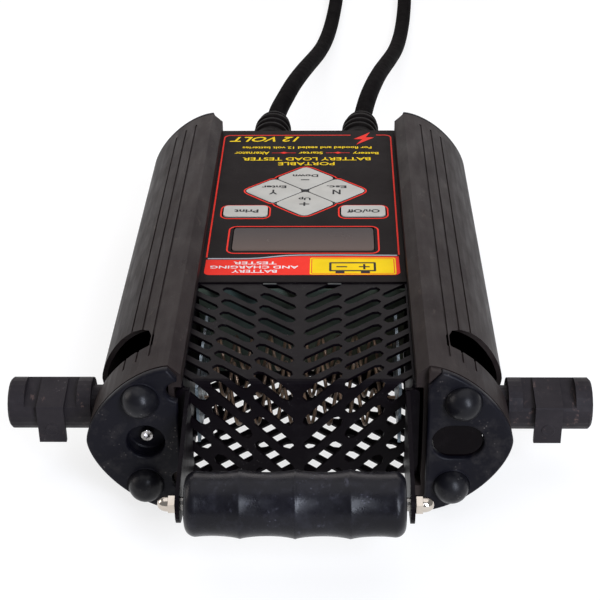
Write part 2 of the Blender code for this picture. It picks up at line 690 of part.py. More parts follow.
def make_handle():
    bore = ROD_RADIUS + GAP
    round_end, count = 0.005, 24
    inner = GRIP_HALF_LENGTH - round_end
    body = [(grip_radius(x), x) for x in (inner - 2 * inner * i / count for i in range(count + 1))]
    rim = body[0][0] - round_end
    top = [(bore, GRIP_HALF_LENGTH), (rim, GRIP_HALF_LENGTH)]
    top += [(rim + round_end * math.sin(a), inner + round_end * math.cos(a))
            for a in (math.radians(30), math.radians(60))]
    profile = top + body + [(r, -z) for r, z in reversed(top)]
    axle = empty("grip_axis", (0, GRIP_Y, 0), (0, math.pi / 2, 0), assembly)
    part("handle_grip", turned(profile, 16), "grip", parent=axle)
    part("handle_rod", cylinder(ROD_RADIUS, 0.119, 12), "steel", (0, GRIP_Y, 0), (0, math.pi / 2, 0))

    span = math.hypot(GRIP_Y + GAP, BRACKET_TOP)
    touch = (math.degrees(math.atan2(BRACKET_TOP, -GRIP_Y - GAP))
             + math.degrees(math.acos(BRACKET_END_RADIUS / span)))
    outline = [(-GAP, -BRACKET_TOP), (-GAP, BRACKET_TOP)]
    outline += arc((GRIP_Y, 0), BRACKET_END_RADIUS, touch, 360 - touch, 10)
    hole = circle((GRIP_Y, 0), ROD_RADIUS + GAP, 12)
    ear = in_yz([outline, hole], BRACKET_X - PLATE / 2, BRACKET_X + PLATE / 2)
    inner_x = BRACKET_X - PLATE / 2
    flange = in_xz([filleted([(inner_x, -BRACKET_TOP, 0), (FLANGE_OUTER_X, -BRACKET_TOP, 0.002),
                              (FLANGE_OUTER_X, BRACKET_TOP, 0.002), (inner_x, BRACKET_TOP, 0)])],
                   -GAP - PLATE, -GAP)
    bracket = combined(ear, flange, "UNION")
    part("handle_bracket_right", bracket, "painted_steel")
    part("handle_bracket_left", mirrored(bracket), "painted_steel")

    seat = BRACKET_X + PLATE / 2 + GAP
    hexagon = moved(cylinder(0.0046, 0.0045, 6), (0, 0, 0.00225))
    crown = [(0, 0.0086), (0.0014, 0.0083), (0.0026, 0.0074), (0.0034, 0.0060), (0.0037, 0.0040),
             (0.0037, 0.0020), (0, 0.0020)]
    nut = combined(hexagon, turned(crown, 16), "UNION")
    nut = combined(nut, moved(cylinder(0.0036, 0.010, 12), (0, 0, -0.0004)), "DIFFERENCE")
    nut = moved(nut, (seat, GRIP_Y, 0), ALONG_X)
    part("acorn_nut_right", nut, "nickel")
    part("acorn_nut_left", mirrored(nut), "nickel")


# --- control panel ------------------------------------------------------------------------------
def diamond(centre, half, inset, radius):
    """A rhombus outline, its sides moved in by inset and its corners rounded."""
    slant = math.hypot(*half)
    across, along = (half[0] - inset * slant / half[1], half[1] - inset * slant / half[0])
    x, y = centre
    return filleted([(x + across, y, radius), (x, y + along, radius),
                     (x - across, y, radius), (x, y - along, radius)], 3)


def pad_outline(sign, grow=0.0):
    x, y = sign * PAD_KEY_CENTRE[0], PAD_KEY_CENTRE[1]
    half_x, half_y = PAD_KEY_SIZE[0] / 2 + grow, PAD_KEY_SIZE[1] / 2 + grow
    return rectangle(x - half_x, y - half_y, x + half_x, y + half_y, 0.003 + grow, 4)


def make_panel():
    half = CHASSIS_HALF_WIDTH
    width, near, far = WINDOW
    start = LOAD_BOX_END + GAP
    centre = (0, DIAMOND_CENTRE_Y)
    holes = [diamond(centre, DIAMOND_HALF, -KEY_GAP, 0.004), pad_outline(1, KEY_GAP),
             pad_outline(-1, KEY_GAP)]
    plate_edge = rectangle(-half, start, half, CHASSIS_END)
    seat = rectangle(-width - 0.0005, near - 0.0005, width + 0.0005, far + 0.0005, 0.0015)
    part("top_panel", in_xy([plate_edge, seat] + holes, PANEL_TOP - SHEET, PANEL_TOP), "painted_steel")
    low = PANEL_TOP + GAP
    part("panel_overlay", in_xy([plate_edge, seat] + holes, low, low + OVERLAY_THICKNESS), "overlay")
    part("display_window", in_xy([rectangle(-width, near, width, far, 0.0012)],
                                 PANEL_TOP - 0.001, PANEL_TOP + 0.0005), "display")
    part("display_module", box((-width + 0.001, near - 0.003, 0.0185),
                               (width - 0.001, far + 0.003, 0.0247)), "display")
    quarter = (DIAMOND_HALF[0] / 2, DIAMOND_HALF[1] / 2)
    quarter_outline = diamond((0, 0), quarter, KEY_GAP / 2, 0.0018)
    for name, across, along in (("up_key", 0, -1), ("down_key", 0, 1), ("enter_key", -1, 0),
                                ("escape_key", 1, 0)):
        make_key(name, (across * quarter[0], DIAMOND_CENTRE_Y + along * quarter[1]), quarter_outline)
    half_x, half_y = PAD_KEY_SIZE[0] / 2, PAD_KEY_SIZE[1] / 2
    for name, sign in (("print_key", -1), ("power_key", 1)):
        make_key(name, (sign * PAD_KEY_CENTRE[0], PAD_KEY_CENTRE[1]),
                 rectangle(-half_x, -half_y, half_x, half_y, 0.003, 4))


def make_key(name, place, outline):
    mesh = in_xy([outline], KEY_BOTTOM - KEY_TOP, 0)
    part(name, mesh, "key", (*place, KEY_TOP))


def make_electronics():
    part("circuit_board", box((-0.050, 0.112, 0.0160), (0.050, 0.296, 0.0176)), "board")
    part("load_relay", box((0.006, 0.215, -0.020), (0.046, 0.270, 0.006)), "black_plastic")
    part("current_shunt", box((-0.040, 0.150, -0.020), (0.020, 0.166, -0.012)), "copper")


# --- cables and clamps --------------------------------------------------------------------------
def gland_profile():
    """A ribbed, domed strain relief over a flange, open for the cable."""
    length = GLAND_TIP - CHASSIS_END - 2 * GAP - SHEET
    bore = CABLE_RADIUS + GAP
    profile = [(bore, length), (0.0088, length), (0.0105, length - 0.0022), (0.0115, length - 0.0056)]
    z = length - 0.0066
    for _ in range(3):
        profile += [(0.0108, z), (0.0108, z - 0.0010), (GLAND_RADIUS, z - 0.0028),
                    (GLAND_RADIUS, z - 0.0066)]
        z -= 0.0076
    profile += [(0.0112, z), (0.0112, GLAND_FLANGE), (0.0130, GLAND_FLANGE), (0.0130, 0.0),
                (0.0074, 0.0), (0.0074, -0.007), (bore, -0.007)]
    return profile


def make_glands():
    base = CHASSIS_END + 2 * GAP + SHEET
    for side, x, lean in zip(("left", "right"), GLAND_X, GLAND_LEAN):
        mesh = turned(gland_profile(), 18)
        for vert in mesh.vertices:
            vert.co.x += lean * max(0.0, vert.co.z - GLAND_FLANGE)
        part(f"cable_gland_{side}", mesh, "rubber", (x, base, GLAND_Z), (-math.pi / 2, 0, 0))


def loop(start, sign, rise):
    """One turn of cable on the floor: from heading +Y, round to the left or right, and over itself."""
    centre = Vector(start) - Vector((sign * LOOP_RADIUS, 0, 0))
    points = []
    for i in range(1, LOOP_STEPS + 1):
        angle = 2 * math.pi * i / LOOP_STEPS
        lift = rise * (1 - math.cos(math.pi * max(0.0, i / LOOP_STEPS - 0.5) * 2)) / 2
        points.append(centre + Vector((sign * LOOP_RADIUS * math.cos(angle),
                                       LOOP_RADIUS * math.sin(angle), lift)))
    return points


LYING = FLOOR_Z + CABLE_RADIUS + 0.0002
LOOP_RISE = 2 * CABLE_RADIUS + 0.0012
DESCENT = (0.362, 0.700)    # where the stiff cables leave the glands' height and where they lie
# Both cables swing to the right on their way back: (x, y) of their centrelines up to their loops.
LEFT_ROUTE = [(-0.0240, 0.3508), (-0.0233, 0.362), (-0.0218, 0.377), (-0.0182, 0.403),
              (-0.0133, 0.443), (-0.0087, 0.482), (-0.0032, 0.530), (0.0006, 0.562),
              (0.0052, 0.600), (0.0094, 0.640), (0.0132, 0.680), (0.0172, 0.730),
              (0.0202, 0.790), (0.0212, 0.868)]
RIGHT_ROUTE = [(0.0366, 0.3508), (0.0376, 0.362), (0.0389, 0.374), (0.0425, 0.405),
               (0.0473, 0.442), (0.0526, 0.482), (0.0595, 0.530), (0.0642, 0.562),
               (0.0695, 0.600), (0.0743, 0.640), (0.0784, 0.680), (0.0826, 0.730),
               (0.0858, 0.790), (0.0868, 0.868)]
# After the loop: distance on, share of the loop's rise left, share of the way to the clamp's place.
TAIL = ((0.026, 1.0, 0.0), (0.048, 0.85, 0.1), (0.070, 0.48, 0.45), (0.092, 0.12, 0.85),
        (0.110, 0.0, 1.0), (0.124, 0.0, 1.0))
CLAMP_DRIFT = 0.012
CLAMP_MID_HEIGHT = 0.0126


def cable_height(y):
    """Height of a cable that sinks from its gland to the floor in one smooth sweep."""
    start, stop = DESCENT
    share = min(1.0, max(0.0, (y - start) / (stop - start)))
    return GLAND_Z + (LYING - GLAND_Z) * share * share * (3 - 2 * share)


def cable_line(route, sign):
    """The whole centreline of a cable: down to the floor, one loop, and on into its clamp."""
    line = [Vector((x, y, cable_height(y))) for x, y in route]
    line += loop(line[-1], sign, LOOP_RISE)
    end = line[-1]
    for ahead, rise, shift in TAIL:
        height = LYING + LOOP_RISE * rise + (FLOOR_Z + CLAMP_MID_HEIGHT - LYING) * shift
        line.append(Vector((end.x - sign * CLAMP_DRIFT * shift, end.y + ahead, height)))
    return line


def make_cables():
    for colour, route, sign in (("red", LEFT_ROUTE, 1), ("black", RIGHT_ROUTE, -1)):
        line = cable_line(route, sign)
        part(f"{colour}_cable", tube(smooth_line(line, TUBE_STEP), CABLE_RADIUS), "cable")
        make_clamp(colour, line[-1] + Vector((0, 2 * GAP, 0)))


def lever_outline():
    """One lever of a clamp in its own plane: grip, pivot cheek and toothed jaw."""
    teeth = []
    for i in range(5):
        y = 0.120 + 0.006 * i
        teeth += [(-0.0008, y), (-0.0030, y + 0.003)]
    outer = [(-0.0060, 0.062), (-0.0205, 0.004), (-0.0225, 0.0), (-0.0335, 0.0),
             (-0.0345, 0.004), (-0.0175, 0.070), (-0.0170, 0.100), (-0.0145, 0.128),
             (-0.0085, 0.150), (-0.0012, 0.153)]
    return outer + teeth[::-1] + [(-0.0060, 0.112), (-0.0065, 0.104), (-0.0065, 0.072)]


def pivot_tab(z0, z1):
    """A round-ended tab that carries a lever across to the pivot."""
    x, y = CLAMP_PIVOT
    root = [(-0.0110, y + CLAMP_TAB_RADIUS), (-0.0110, y - CLAMP_TAB_RADIUS)]
    return in_xy([arc((x, y), CLAMP_TAB_RADIUS, -90, 90, 8) + root], z0, z1)


def make_clamp(colour, entry):
    """A spring clamp lying on its side; the cable ends in the grip of its fixed jaw."""
    half = CLAMP_HALF_THICKNESS
    inner = half - CLAMP_SHEET - GAP
    place = empty(f"{colour}_clamp_place", (entry.x + 0.028, entry.y, FLOOR_Z + CLAMP_MID_HEIGHT),
                  parent=assembly)
    hinge = empty(f"{colour}_clamp_axis", (*CLAMP_PIVOT, 0), parent=place)
    kind = "red_plastic" if colour == "red" else "black_plastic"
    lever = in_xy([lever_outline()], -half, half)
    hole = moved(cylinder(0.0024, 0.06, 12), (*CLAMP_PIVOT, 0))
    # The fixed jaw has two outer tabs at the pivot and the moving jaw one inner tongue.
    fixed = lever.copy()
    for z0, z1 in ((-half, CLAMP_SHEET - half), (half - CLAMP_SHEET, half)):
        fixed = combined(fixed, pivot_tab(z0, z1), "UNION")
    fixed = combined(fixed, hole.copy(), "DIFFERENCE")
    part(f"{colour}_clamp_fixed_jaw", fixed, kind, parent=place)
    moving = combined(lever, pivot_tab(-inner, inner), "UNION")
    moving = mirrored(combined(moving, hole, "DIFFERENCE"))
    moved(moving, (-CLAMP_PIVOT[0], -CLAMP_PIVOT[1], 0))
    part(f"{colour}_clamp_moving_jaw", moving, kind, parent=hinge)
    part(f"{colour}_clamp_pin", cylinder(0.0020, 2 * half + 0.003, 12), "steel", parent=hinge)


assembly = None
parts = new_collection("battery_tester")
cutters = new_collection("cutters")


def main():
    global assembly
    clear_scene()
    assembly = empty("battery_tester_frame", (0, FRONT_Y, -FLOOR_Z))
    make_grille_cover()
    make_chassis()
    make_load_parts()
    make_housings()
    make_front_caps()
    make_rear_caps()
    make_tie_rods()
    make_posts()
    make_handle()
    make_panel()
    make_electronics()
    make_glands()
    make_cables()


main()
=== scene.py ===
"""Looks of the hand-carried battery tester: finishes for its CAD pieces, finer pieces in place of
the turned and moulded ones, the printed key panel, the two cables, and a plain pale studio.

Sizes in millimetres are in the tester's own frame: X across the panel, Y from the front of the
grille towards the cables, and Z up from 26.5 mm below the top of the grille. The cables, the lights
and the camera are in metres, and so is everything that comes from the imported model.
"""
import math

import bmesh
import bpy
from mathutils import Matrix, Vector


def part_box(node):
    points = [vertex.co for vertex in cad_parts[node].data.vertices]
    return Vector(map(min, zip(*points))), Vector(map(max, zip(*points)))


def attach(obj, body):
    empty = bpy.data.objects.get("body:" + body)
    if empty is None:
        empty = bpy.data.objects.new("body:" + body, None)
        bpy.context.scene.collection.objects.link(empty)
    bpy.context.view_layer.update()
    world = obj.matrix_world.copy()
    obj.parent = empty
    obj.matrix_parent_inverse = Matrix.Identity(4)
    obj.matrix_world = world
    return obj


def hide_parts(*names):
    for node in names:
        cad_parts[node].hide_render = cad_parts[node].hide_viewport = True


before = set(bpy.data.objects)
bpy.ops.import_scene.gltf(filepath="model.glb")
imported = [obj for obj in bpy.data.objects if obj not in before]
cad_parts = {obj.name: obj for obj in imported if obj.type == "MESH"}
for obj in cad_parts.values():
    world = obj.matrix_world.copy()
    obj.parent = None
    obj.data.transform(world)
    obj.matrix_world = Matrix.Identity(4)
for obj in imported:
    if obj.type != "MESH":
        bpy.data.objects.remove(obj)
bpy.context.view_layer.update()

MM = 1000                       # millimetres in a metre
GRILLE_TOP = 26.5
grille_low, grille_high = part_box("grille_cover")
ORIGIN = Vector((0, grille_low.y, grille_high.z - GRILLE_TOP / MM))
BODY = "chassis"

# --- sizes shared with the CAD, in millimetres ---------------------------------------------------
HOUSING_Z = -1.8                # mid-height of a side housing
HALF_HEIGHT = 42.0
RIDGE_X = 62.2                  # the ridges along a housing's top and bottom
HOUSING_HALF_WIDTH = 42.1
HOUSING_EXPONENT = 1.6          # of the superellipse that its outer side follows
LIP_TOP = 36.6
RIGHT_OFFSET = 1.3              # how much further out the right housing stands
CAP_INNER = {"left": 58.0, "right": 61.7}       # the X of a front cap's inner edge
REAR_CAP_INNER = 60.0
HOLE_FLOOR = -2.0               # the Y of the round hole's floor
ROUND_HOLE = (74.9, -1.7)
ROUND_HOLE_RADIUS = 9.4
LONG_HOLE = (78.5, -1.7)
LONG_HOLE_RADIUS = 9.6
LONG_HOLE_HALF = 3.1
CAP_NOTCHES = (27.6, -24.8)
CAP_NOTCH_RADIUS = 5.4
CAP_CHAMFER_X = 69.7            # the sloping corner of the right front cap
CAP_CHAMFER_Z = 31.0
CAP_THICKNESS = 4.6
CAP_EDGE = 1.4
CUP_WALL = 1.8
BUMPER_RADIUS = 8.9
SEAT_HEIGHT = 0.3               # how far a bumper's seat ring stands off its cap
GRIP_AXIS_Y = -62.0
GRIP_RADIUS = 16.1
GRIP_HALF_LENGTH = 50.9
GRIP_RIDGE_PITCH = 25.4
GRIP_GROOVE_DEPTH = 1.45
GRIP_GROOVE_EXPONENT = 0.62     # below 1: narrow ridges between wide grooves
GRIP_BORE = 3.6
NUT_HALF_FLATS = 4.0
KEY_SPACING_X = 19.25           # the four keys of the diamond, from its middle
KEY_SPACING_Y = 17.75
DIAMOND_Y = 212.4
CABLE_DIAMETER = 0.0128         # in metres, as every measure of the cables below


# --- node graphs ---------------------------------------------------------------------------------
def add(tree, kind, values=None, **settings):
    """A shader node, its settings, and its inputs as constants or as sockets to link."""
    node = tree.nodes.new("ShaderNode" + kind)
    for key, value in settings.items():
        setattr(node, key, value)
    for key, value in (values or {}).items():
        if isinstance(value, bpy.types.NodeSocket):
            tree.links.new(value, node.inputs[key])
        else:
            node.inputs[key].default_value = value
    return node


def rgba(colour):
    return (*colour, 1.0)


def place(tree, stretch=(1, 1, 1)):
    """The surface's position in metres, stretched along the axes."""
    coordinates = add(tree, "TexCoord").outputs["Object"]
    if stretch == (1, 1, 1):
        return coordinates
    return add(tree, "Mapping", {"Vector": coordinates, "Scale": stretch}).outputs["Vector"]


def noise(tree, scale, detail=4.0, stretch=(1, 1, 1), roughness=0.55):
    return add(tree, "TexNoise", {"Vector": place(tree, stretch), "Scale": scale, "Detail": detail,
                                  "Roughness": roughness}).outputs["Fac"]


def between(tree, value, low, high, to_low=0.0, to_high=1.0):
    return add(tree, "MapRange", {"Value": value, "From Min": low, "From Max": high,
                                  "To Min": to_low, "To Max": to_high}).outputs["Result"]


def times(tree, a, b):
    return add(tree, "Math", {0: a, 1: b}, operation="MULTIPLY").outputs[0]


def mixed(tree, share, a, b):
    """A colour between a and b, each a colour or a socket."""
    node = tree.nodes.new("ShaderNodeMix")
    node.data_type = "RGBA"
    for index, value in ((0, share), (6, a), (7, b)):
        if isinstance(value, bpy.types.NodeSocket):
            tree.links.new(value, node.inputs[index])
        else:
            node.inputs[index].default_value = value if index == 0 else rgba(value)
    return node.outputs[2]


def specks(tree, scale, size, gate_scale, gate=0.55):
    """Scattered round specks that come in patches."""
    cells = add(tree, "TexVoronoi", {"Vector": place(tree), "Scale": scale}).outputs["Distance"]
    dot = between(tree, cells, size, size * 0.6)
    patch = between(tree, noise(tree, gate_scale, 3.0), gate, gate + 0.12)
    return times(tree, dot, patch)


def finish(name, colour, other, rough, spread=0.06, grain=2500.0, relief=0.12, stretch=(1, 1, 1),
           specular=0.3, metallic=0.0, dust=0.0, dust_colour=(0.20, 0.19, 0.19), scuff=0.0,
           scuff_colour=(0.25, 0.14, 0.11), patch_scale=38.0):
    """A moulded, painted or plated finish: two tones in soft patches, grain, dust and scuffs."""
    material = bpy.data.materials.new(name)
    material.use_nodes = True
    tree = material.node_tree
    shader = tree.nodes["Principled BSDF"]
    patches = between(tree, noise(tree, patch_scale, 6.0), 0.36, 0.66)
    base = mixed(tree, patches, colour, other)
    fine = noise(tree, grain, 3.0, stretch)
    if scuff:
        streaks = between(tree, noise(tree, 260.0, 8.0, (1.0, 0.35, 1.0), 0.7), 0.57, 0.66)
        worn = times(tree, streaks, between(tree, noise(tree, 55.0, 2.0), 0.48, 0.62))
        base = mixed(tree, times(tree, worn, scuff), base, scuff_colour)
    if dust:
        base = mixed(tree, times(tree, specks(tree, 520.0, 0.22, 60.0), dust), base, dust_colour)
        film = between(tree, noise(tree, 120.0, 7.0, roughness=0.7), 0.50, 0.85, 0.0, dust * 0.25)
        base = mixed(tree, film, base, dust_colour)
    tree.links.new(base, shader.inputs["Base Color"])
    uneven = noise(tree, 150.0, 6.0, stretch)
    tree.links.new(between(tree, uneven, 0.3, 0.7, rough - spread, rough + spread),
                   shader.inputs["Roughness"])
    bump = add(tree, "Bump", {"Height": fine, "Strength": relief, "Distance": 0.0002})
    tree.links.new(bump.outputs["Normal"], shader.inputs["Normal"])
    shader.inputs["Metallic"].default_value = metallic
    shader.inputs["Specular IOR Level"].default_value = specular
    return material


PAINT = finish("black_paint", (0.0018, 0.0008, 0.0020), (0.0028, 0.0017, 0.0026), 0.38, 0.05,
               1700.0, 0.10, specular=0.055, dust=0.10)
HOUSING = finish("housing_plastic", (0.0120, 0.0078, 0.0078), (0.0205, 0.0150, 0.0138), 0.52, 0.08,
                 1500.0, 0.22, (1, 0.25, 1), 0.11, dust=0.25, dust_colour=(0.13, 0.115, 0.105),
                 scuff=0.35, scuff_colour=(0.085, 0.065, 0.055))
CAP = finish("cap_plastic", (0.0030, 0.0029, 0.0052), (0.0052, 0.0050, 0.0080), 0.42, 0.07, 2200.0,
             0.14, specular=0.09, dust=0.65, dust_colour=(0.13, 0.115, 0.105))
RUBBER = finish("bumper_rubber", (0.0040, 0.0038, 0.0052), (0.0070, 0.0068, 0.0086), 0.33, 0.06,
                2600.0, 0.10, specular=0.16, dust=0.6, dust_colour=(0.15, 0.14, 0.13))
GLAND = finish("gland_rubber", (0.0026, 0.0019, 0.0019), (0.0055, 0.0043, 0.0041), 0.46, 0.06,
               1800.0, 0.1, specular=0.025, dust=0.4, dust_colour=(0.12, 0.11, 0.10))
GRIP = finish("grip_rubber", (0.0026, 0.0024, 0.0042), (0.0054, 0.0051, 0.0080), 0.31, 0.09, 1300.0,
              0.30, specular=0.19, dust=0.5, dust_colour=(0.10, 0.10, 0.13), scuff=0.6,
              scuff_colour=(0.050, 0.050, 0.064), patch_scale=30.0)
NICKEL = finish("bright_nickel", (0.62, 0.57, 0.51), (0.46, 0.38, 0.31), 0.12, 0.05, 900.0, 0.10,
                metallic=1.0, dust=0.3, dust_colour=(0.10, 0.07, 0.05))
# Nickel for the tie rods' heads, which sit in dark holes: its near-black patches and specks are
# painted shade over the nickel's own bright tone.
NICKEL_PAINTED_SHADE = finish("nickel_with_painted_shade", (0.55, 0.53, 0.52), (0.06, 0.055, 0.05), 0.16, 0.08, 420.0, 1.0,
                     metallic=1.0, dust=0.6, dust_colour=(0.03, 0.02, 0.02), patch_scale=420.0)
STEEL = finish("plain_steel", (0.40, 0.39, 0.37), (0.30, 0.28, 0.26), 0.28, 0.08, 1200.0, 0.1,
               (1, 20, 20), metallic=1.0)
OVERLAY = finish("printed_film", (0.0125, 0.0100, 0.0098), (0.0165, 0.0136, 0.0130), 0.42, 0.05,
                 4200.0, 0.16, specular=0.010, dust=0.1, dust_colour=(0.12, 0.11, 0.10))
KEY = finish("key_film", (0.425, 0.412, 0.372), (0.375, 0.362, 0.325), 0.48, 0.05, 3800.0, 0.16,
             specular=0.20, dust=0.25, dust_colour=(0.20, 0.19, 0.17), patch_scale=70.0)
RED_INK = finish("red_ink", (0.76, 0.030, 0.017), (0.68, 0.024, 0.013), 0.45, 0.04, 4200.0, 0.10,
                 specular=0.04)
YELLOW_INK = finish("yellow_ink", (0.80, 0.55, 0.001), (0.70, 0.46, 0.001), 0.45, 0.04, 4200.0,
                    0.10, specular=0.04)
WHITE_INK = finish("white_ink", (0.72, 0.70, 0.68), (0.62, 0.60, 0.58), 0.45, 0.04, 4200.0, 0.10,
                   specular=0.2)
SILVER_INK = finish("silver_ink", (0.34, 0.35, 0.37), (0.27, 0.28, 0.30), 0.40, 0.05, 4200.0, 0.10,
                    specular=0.2)
BLACK_INK = finish("black_ink", (0.010, 0.010, 0.011), (0.015, 0.015, 0.016), 0.50, 0.04, 4200.0,
                   0.10, specular=0.1)
LENS = finish("dark_lens", (0.0012, 0.0005, 0.0010), (0.0020, 0.0009, 0.0016), 0.14, 0.04, 1500.0,
              0.02, specular=0.06, dust=0.15, dust_colour=(0.08, 0.07, 0.07))
# Tinned bus bars: the bright bluish patches among near-black ones are painted glints, not the tin's
# own tone.
TINNED_PAINTED_GLINTS = finish("tinned_bar", (0.34, 0.42, 0.48), (0.030, 0.034, 0.040), 0.30, 0.10, 700.0, 0.3,
                metallic=0.9, patch_scale=130.0)
COPPER = finish("copper_bar", (0.60, 0.30, 0.18), (0.45, 0.24, 0.15), 0.35, 0.10, 900.0, 0.2,
                metallic=1.0)
BOARD = finish("laminate_board", (0.030, 0.046, 0.042), (0.070, 0.078, 0.048), 0.55, 0.06, 1400.0,
               0.3, (1, 1, 0.3), specular=0.12, dust=0.3, patch_scale=16.0)
MOULDING = finish("black_moulding", (0.0100, 0.0080, 0.0100), (0.0170, 0.0140, 0.0160), 0.58, 0.08,
                  1500.0, 0.3, specular=0.14, dust=0.4, dust_colour=(0.12, 0.10, 0.10), scuff=0.7,
                  scuff_colour=(0.125, 0.080, 0.070))
JACKET = finish("cable_jacket", (0.0022, 0.0017, 0.0019), (0.0042, 0.0034, 0.0036), 0.66, 0.07,
                900.0, 0.05, specular=0.008, dust=0.15, dust_colour=(0.12, 0.11, 0.10))
TAB = finish("bare_tab", (0.030, 0.034, 0.032), (0.020, 0.022, 0.022), 0.40, 0.08, 900.0, 0.2)
WIRE = finish("resistance_wire", (0.27, 0.185, 0.125), (0.13, 0.085, 0.060), 0.34, 0.10, 1600.0,
              0.25, metallic=0.85, patch_scale=60.0, dust=0.2)
TOOTH_COPPER = (0.55, 0.27, 0.15)
BITE_HALF_WIDTH = (0.0042, 0.0038)      # in metres: where the teeth's colour starts and is full
BITE_AHEAD = (0.028, 0.0284)            # the same along the jaw, from its pin


def display_finish():
    """A grey liquid-crystal display behind film, with a warmer, lighter near edge."""
    material = bpy.data.materials.new("display_film")
    material.use_nodes = True
    tree = material.node_tree
    shader = tree.nodes["Principled BSDF"]
    low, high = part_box("display_window")
    parts = add(tree, "SeparateXYZ", {"Vector": place(tree)})
    near = between(tree, parts.outputs["Y"], high.y, low.y)
    base = mixed(tree, near, (0.030, 0.0235, 0.0235), (0.088, 0.061, 0.050))
    dots = times(tree, specks(tree, 300.0, 0.10, 40.0, 0.6), 0.7)
    base = mixed(tree, dots, base, (0.3, 0.29, 0.28))
    tree.links.new(base, shader.inputs["Base Color"])
    haze = noise(tree, 90.0, 5.0)
    tree.links.new(between(tree, haze, 0.3, 0.7, 0.16, 0.28), shader.inputs["Roughness"])
    ripple = add(tree, "Bump", {"Height": noise(tree, 500.0, 2.0), "Strength": 0.03,
                                "Distance": 0.0002})
    tree.links.new(ripple.outputs["Normal"], shader.inputs["Normal"])
    shader.inputs["Specular IOR Level"].default_value = 0.07
    return material


def clamp_finish(colour, plastic, worn):
    """Moulded clamp levers with bare copper teeth along the bite."""
    material = finish(colour + "_moulding_with_teeth", plastic, worn, 0.40, 0.07, 1300.0, 0.2,
                      specular=0.35, dust=0.3)
    tree = material.node_tree
    shader = tree.nodes["Principled BSDF"]
    low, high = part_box(colour + "_clamp_pin")
    pivot = (low + high) / 2
    parts = add(tree, "SeparateXYZ", {"Vector": place(tree)})
    aside = add(tree, "Math", {0: parts.outputs["X"], 1: pivot.x}, operation="SUBTRACT")
    away = add(tree, "Math", {0: aside.outputs[0]}, operation="ABSOLUTE").outputs[0]
    in_bite = between(tree, away, *BITE_HALF_WIDTH)
    ahead = between(tree, parts.outputs["Y"], *(pivot.y + reach for reach in BITE_AHEAD))
    mask = times(tree, in_bite, ahead)
    old = shader.inputs["Base Color"].links[0].from_socket
    tree.links.new(mixed(tree, mask, old, TOOTH_COPPER), shader.inputs["Base Color"])
    tree.links.new(mask, shader.inputs["Metallic"])
    return material


DISPLAY = display_finish()
RED_CLAMP = clamp_finish("red", (0.42, 0.014, 0.012), (0.34, 0.012, 0.010))
BLACK_CLAMP = clamp_finish("black", (0.0120, 0.0115, 0.0125), (0.0190, 0.0180, 0.0190))


# --- shapes --------------------------------------------------------------------------------------
def in_mm(point):
    """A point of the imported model, in millimetres in the tester's own frame."""
    return (point - ORIGIN) * MM


def along_y(value):
    return (value - ORIGIN.y) * MM


def along_z(value):
    return (value - ORIGIN.z) * MM


def arc(centre, radius, start, stop, steps):
    angles = [math.radians(start + (stop - start) * i / steps) for i in range(steps + 1)]
    return [(centre[0] + radius * math.cos(a), centre[1] + radius * math.sin(a)) for a in angles]


def circle(centre, radius, steps=48):
    return arc(centre, radius, 0, 360, steps)[:-1]


def rounded(x0, y0, x1, y1, radius, steps=6):
    """A rectangle with round corners."""
    corners = ((x1, y1, 0), (x0, y1, 90), (x0, y0, 180), (x1, y0, 270))
    outline = []
    for x, y, start in corners:
        centre = (x - math.copysign(radius, x - (x0 + x1) / 2),
                  y - math.copysign(radius, y - (y0 + y1) / 2))
        outline += arc(centre, radius, start, start + 90, steps)
    return outline


WELD = 0.0005                   # points closer than this are one point


def joined(meshes):
    """One mesh of several."""
    body = bmesh.new()
    for mesh in meshes:
        body.from_mesh(mesh)
    whole = bpy.data.meshes.new("joined")
    body.to_mesh(whole)
    body.free()
    return whole


def curve_mesh(curve):
    """The mesh of a curve or text, with its caps welded on."""
    holder = bpy.data.objects.new("blank", curve)
    bpy.context.scene.collection.objects.link(holder)
    graph = bpy.context.evaluated_depsgraph_get()
    mesh = bpy.data.meshes.new_from_object(holder.evaluated_get(graph))
    bpy.data.objects.remove(holder, do_unlink=True)
    body = bmesh.new()
    body.from_mesh(mesh)
    bmesh.ops.remove_doubles(body, verts=body.verts, dist=WELD)
    bmesh.ops.recalc_face_normals(body, faces=body.faces)
    body.to_mesh(mesh)
    body.free()
    return mesh


def plate(outlines, z0, z1, edge=0.0, steps=3):
    """A plate in millimetres, with the first outline as its edge, the others as its holes, and all
    its edges rounded."""
    curve = bpy.data.curves.new("outline", "CURVE")
    curve.dimensions = "2D"
    curve.fill_mode = "BOTH"
    curve.extrude = (z1 - z0) / 2 - edge
    curve.bevel_depth = edge
    curve.bevel_resolution = steps
    curve.offset = -edge
    for outline in outlines:
        spline = curve.splines.new("POLY")
        spline.points.add(len(outline) - 1)
        for point, (x, y) in zip(spline.points, outline):
            point.co = (x, y, 0, 1)
        spline.use_cyclic_u = True
    mesh = curve_mesh(curve)
    mesh.transform(Matrix.Translation((0, 0, (z0 + z1) / 2)))
    return mesh


def turned(profile, steps):
    """A surface of revolution about Z from a (radius, height) profile, in millimetres."""
    body = bmesh.new()
    rings = []
    for radius, height in profile:
        if radius == 0:
            rings.append([body.verts.new((0, 0, height))])
            continue
        angles = [2 * math.pi * i / steps for i in range(steps)]
        rings.append([body.verts.new((radius * math.cos(a), radius * math.sin(a), height))
                      for a in angles])
    for one, two in zip(rings, rings[1:]):
        for i in range(steps):
            j = (i + 1) % steps
            if len(one) == 1:
                body.faces.new((one[0], two[i], two[j]))
            elif len(two) == 1:
                body.faces.new((one[i], two[0], one[j]))
            else:
                body.faces.new((one[i], two[i], two[j], one[j]))
    if len(rings[0]) > 1 and len(rings[-1]) > 1:
        for i in range(steps):
            j = (i + 1) % steps
            body.faces.new((rings[-1][i], rings[0][i], rings[0][j], rings[-1][j]))
    bmesh.ops.recalc_face_normals(body, faces=body.faces)
    mesh = bpy.data.meshes.new("turned")
    body.to_mesh(mesh)
    body.free()
    return mesh


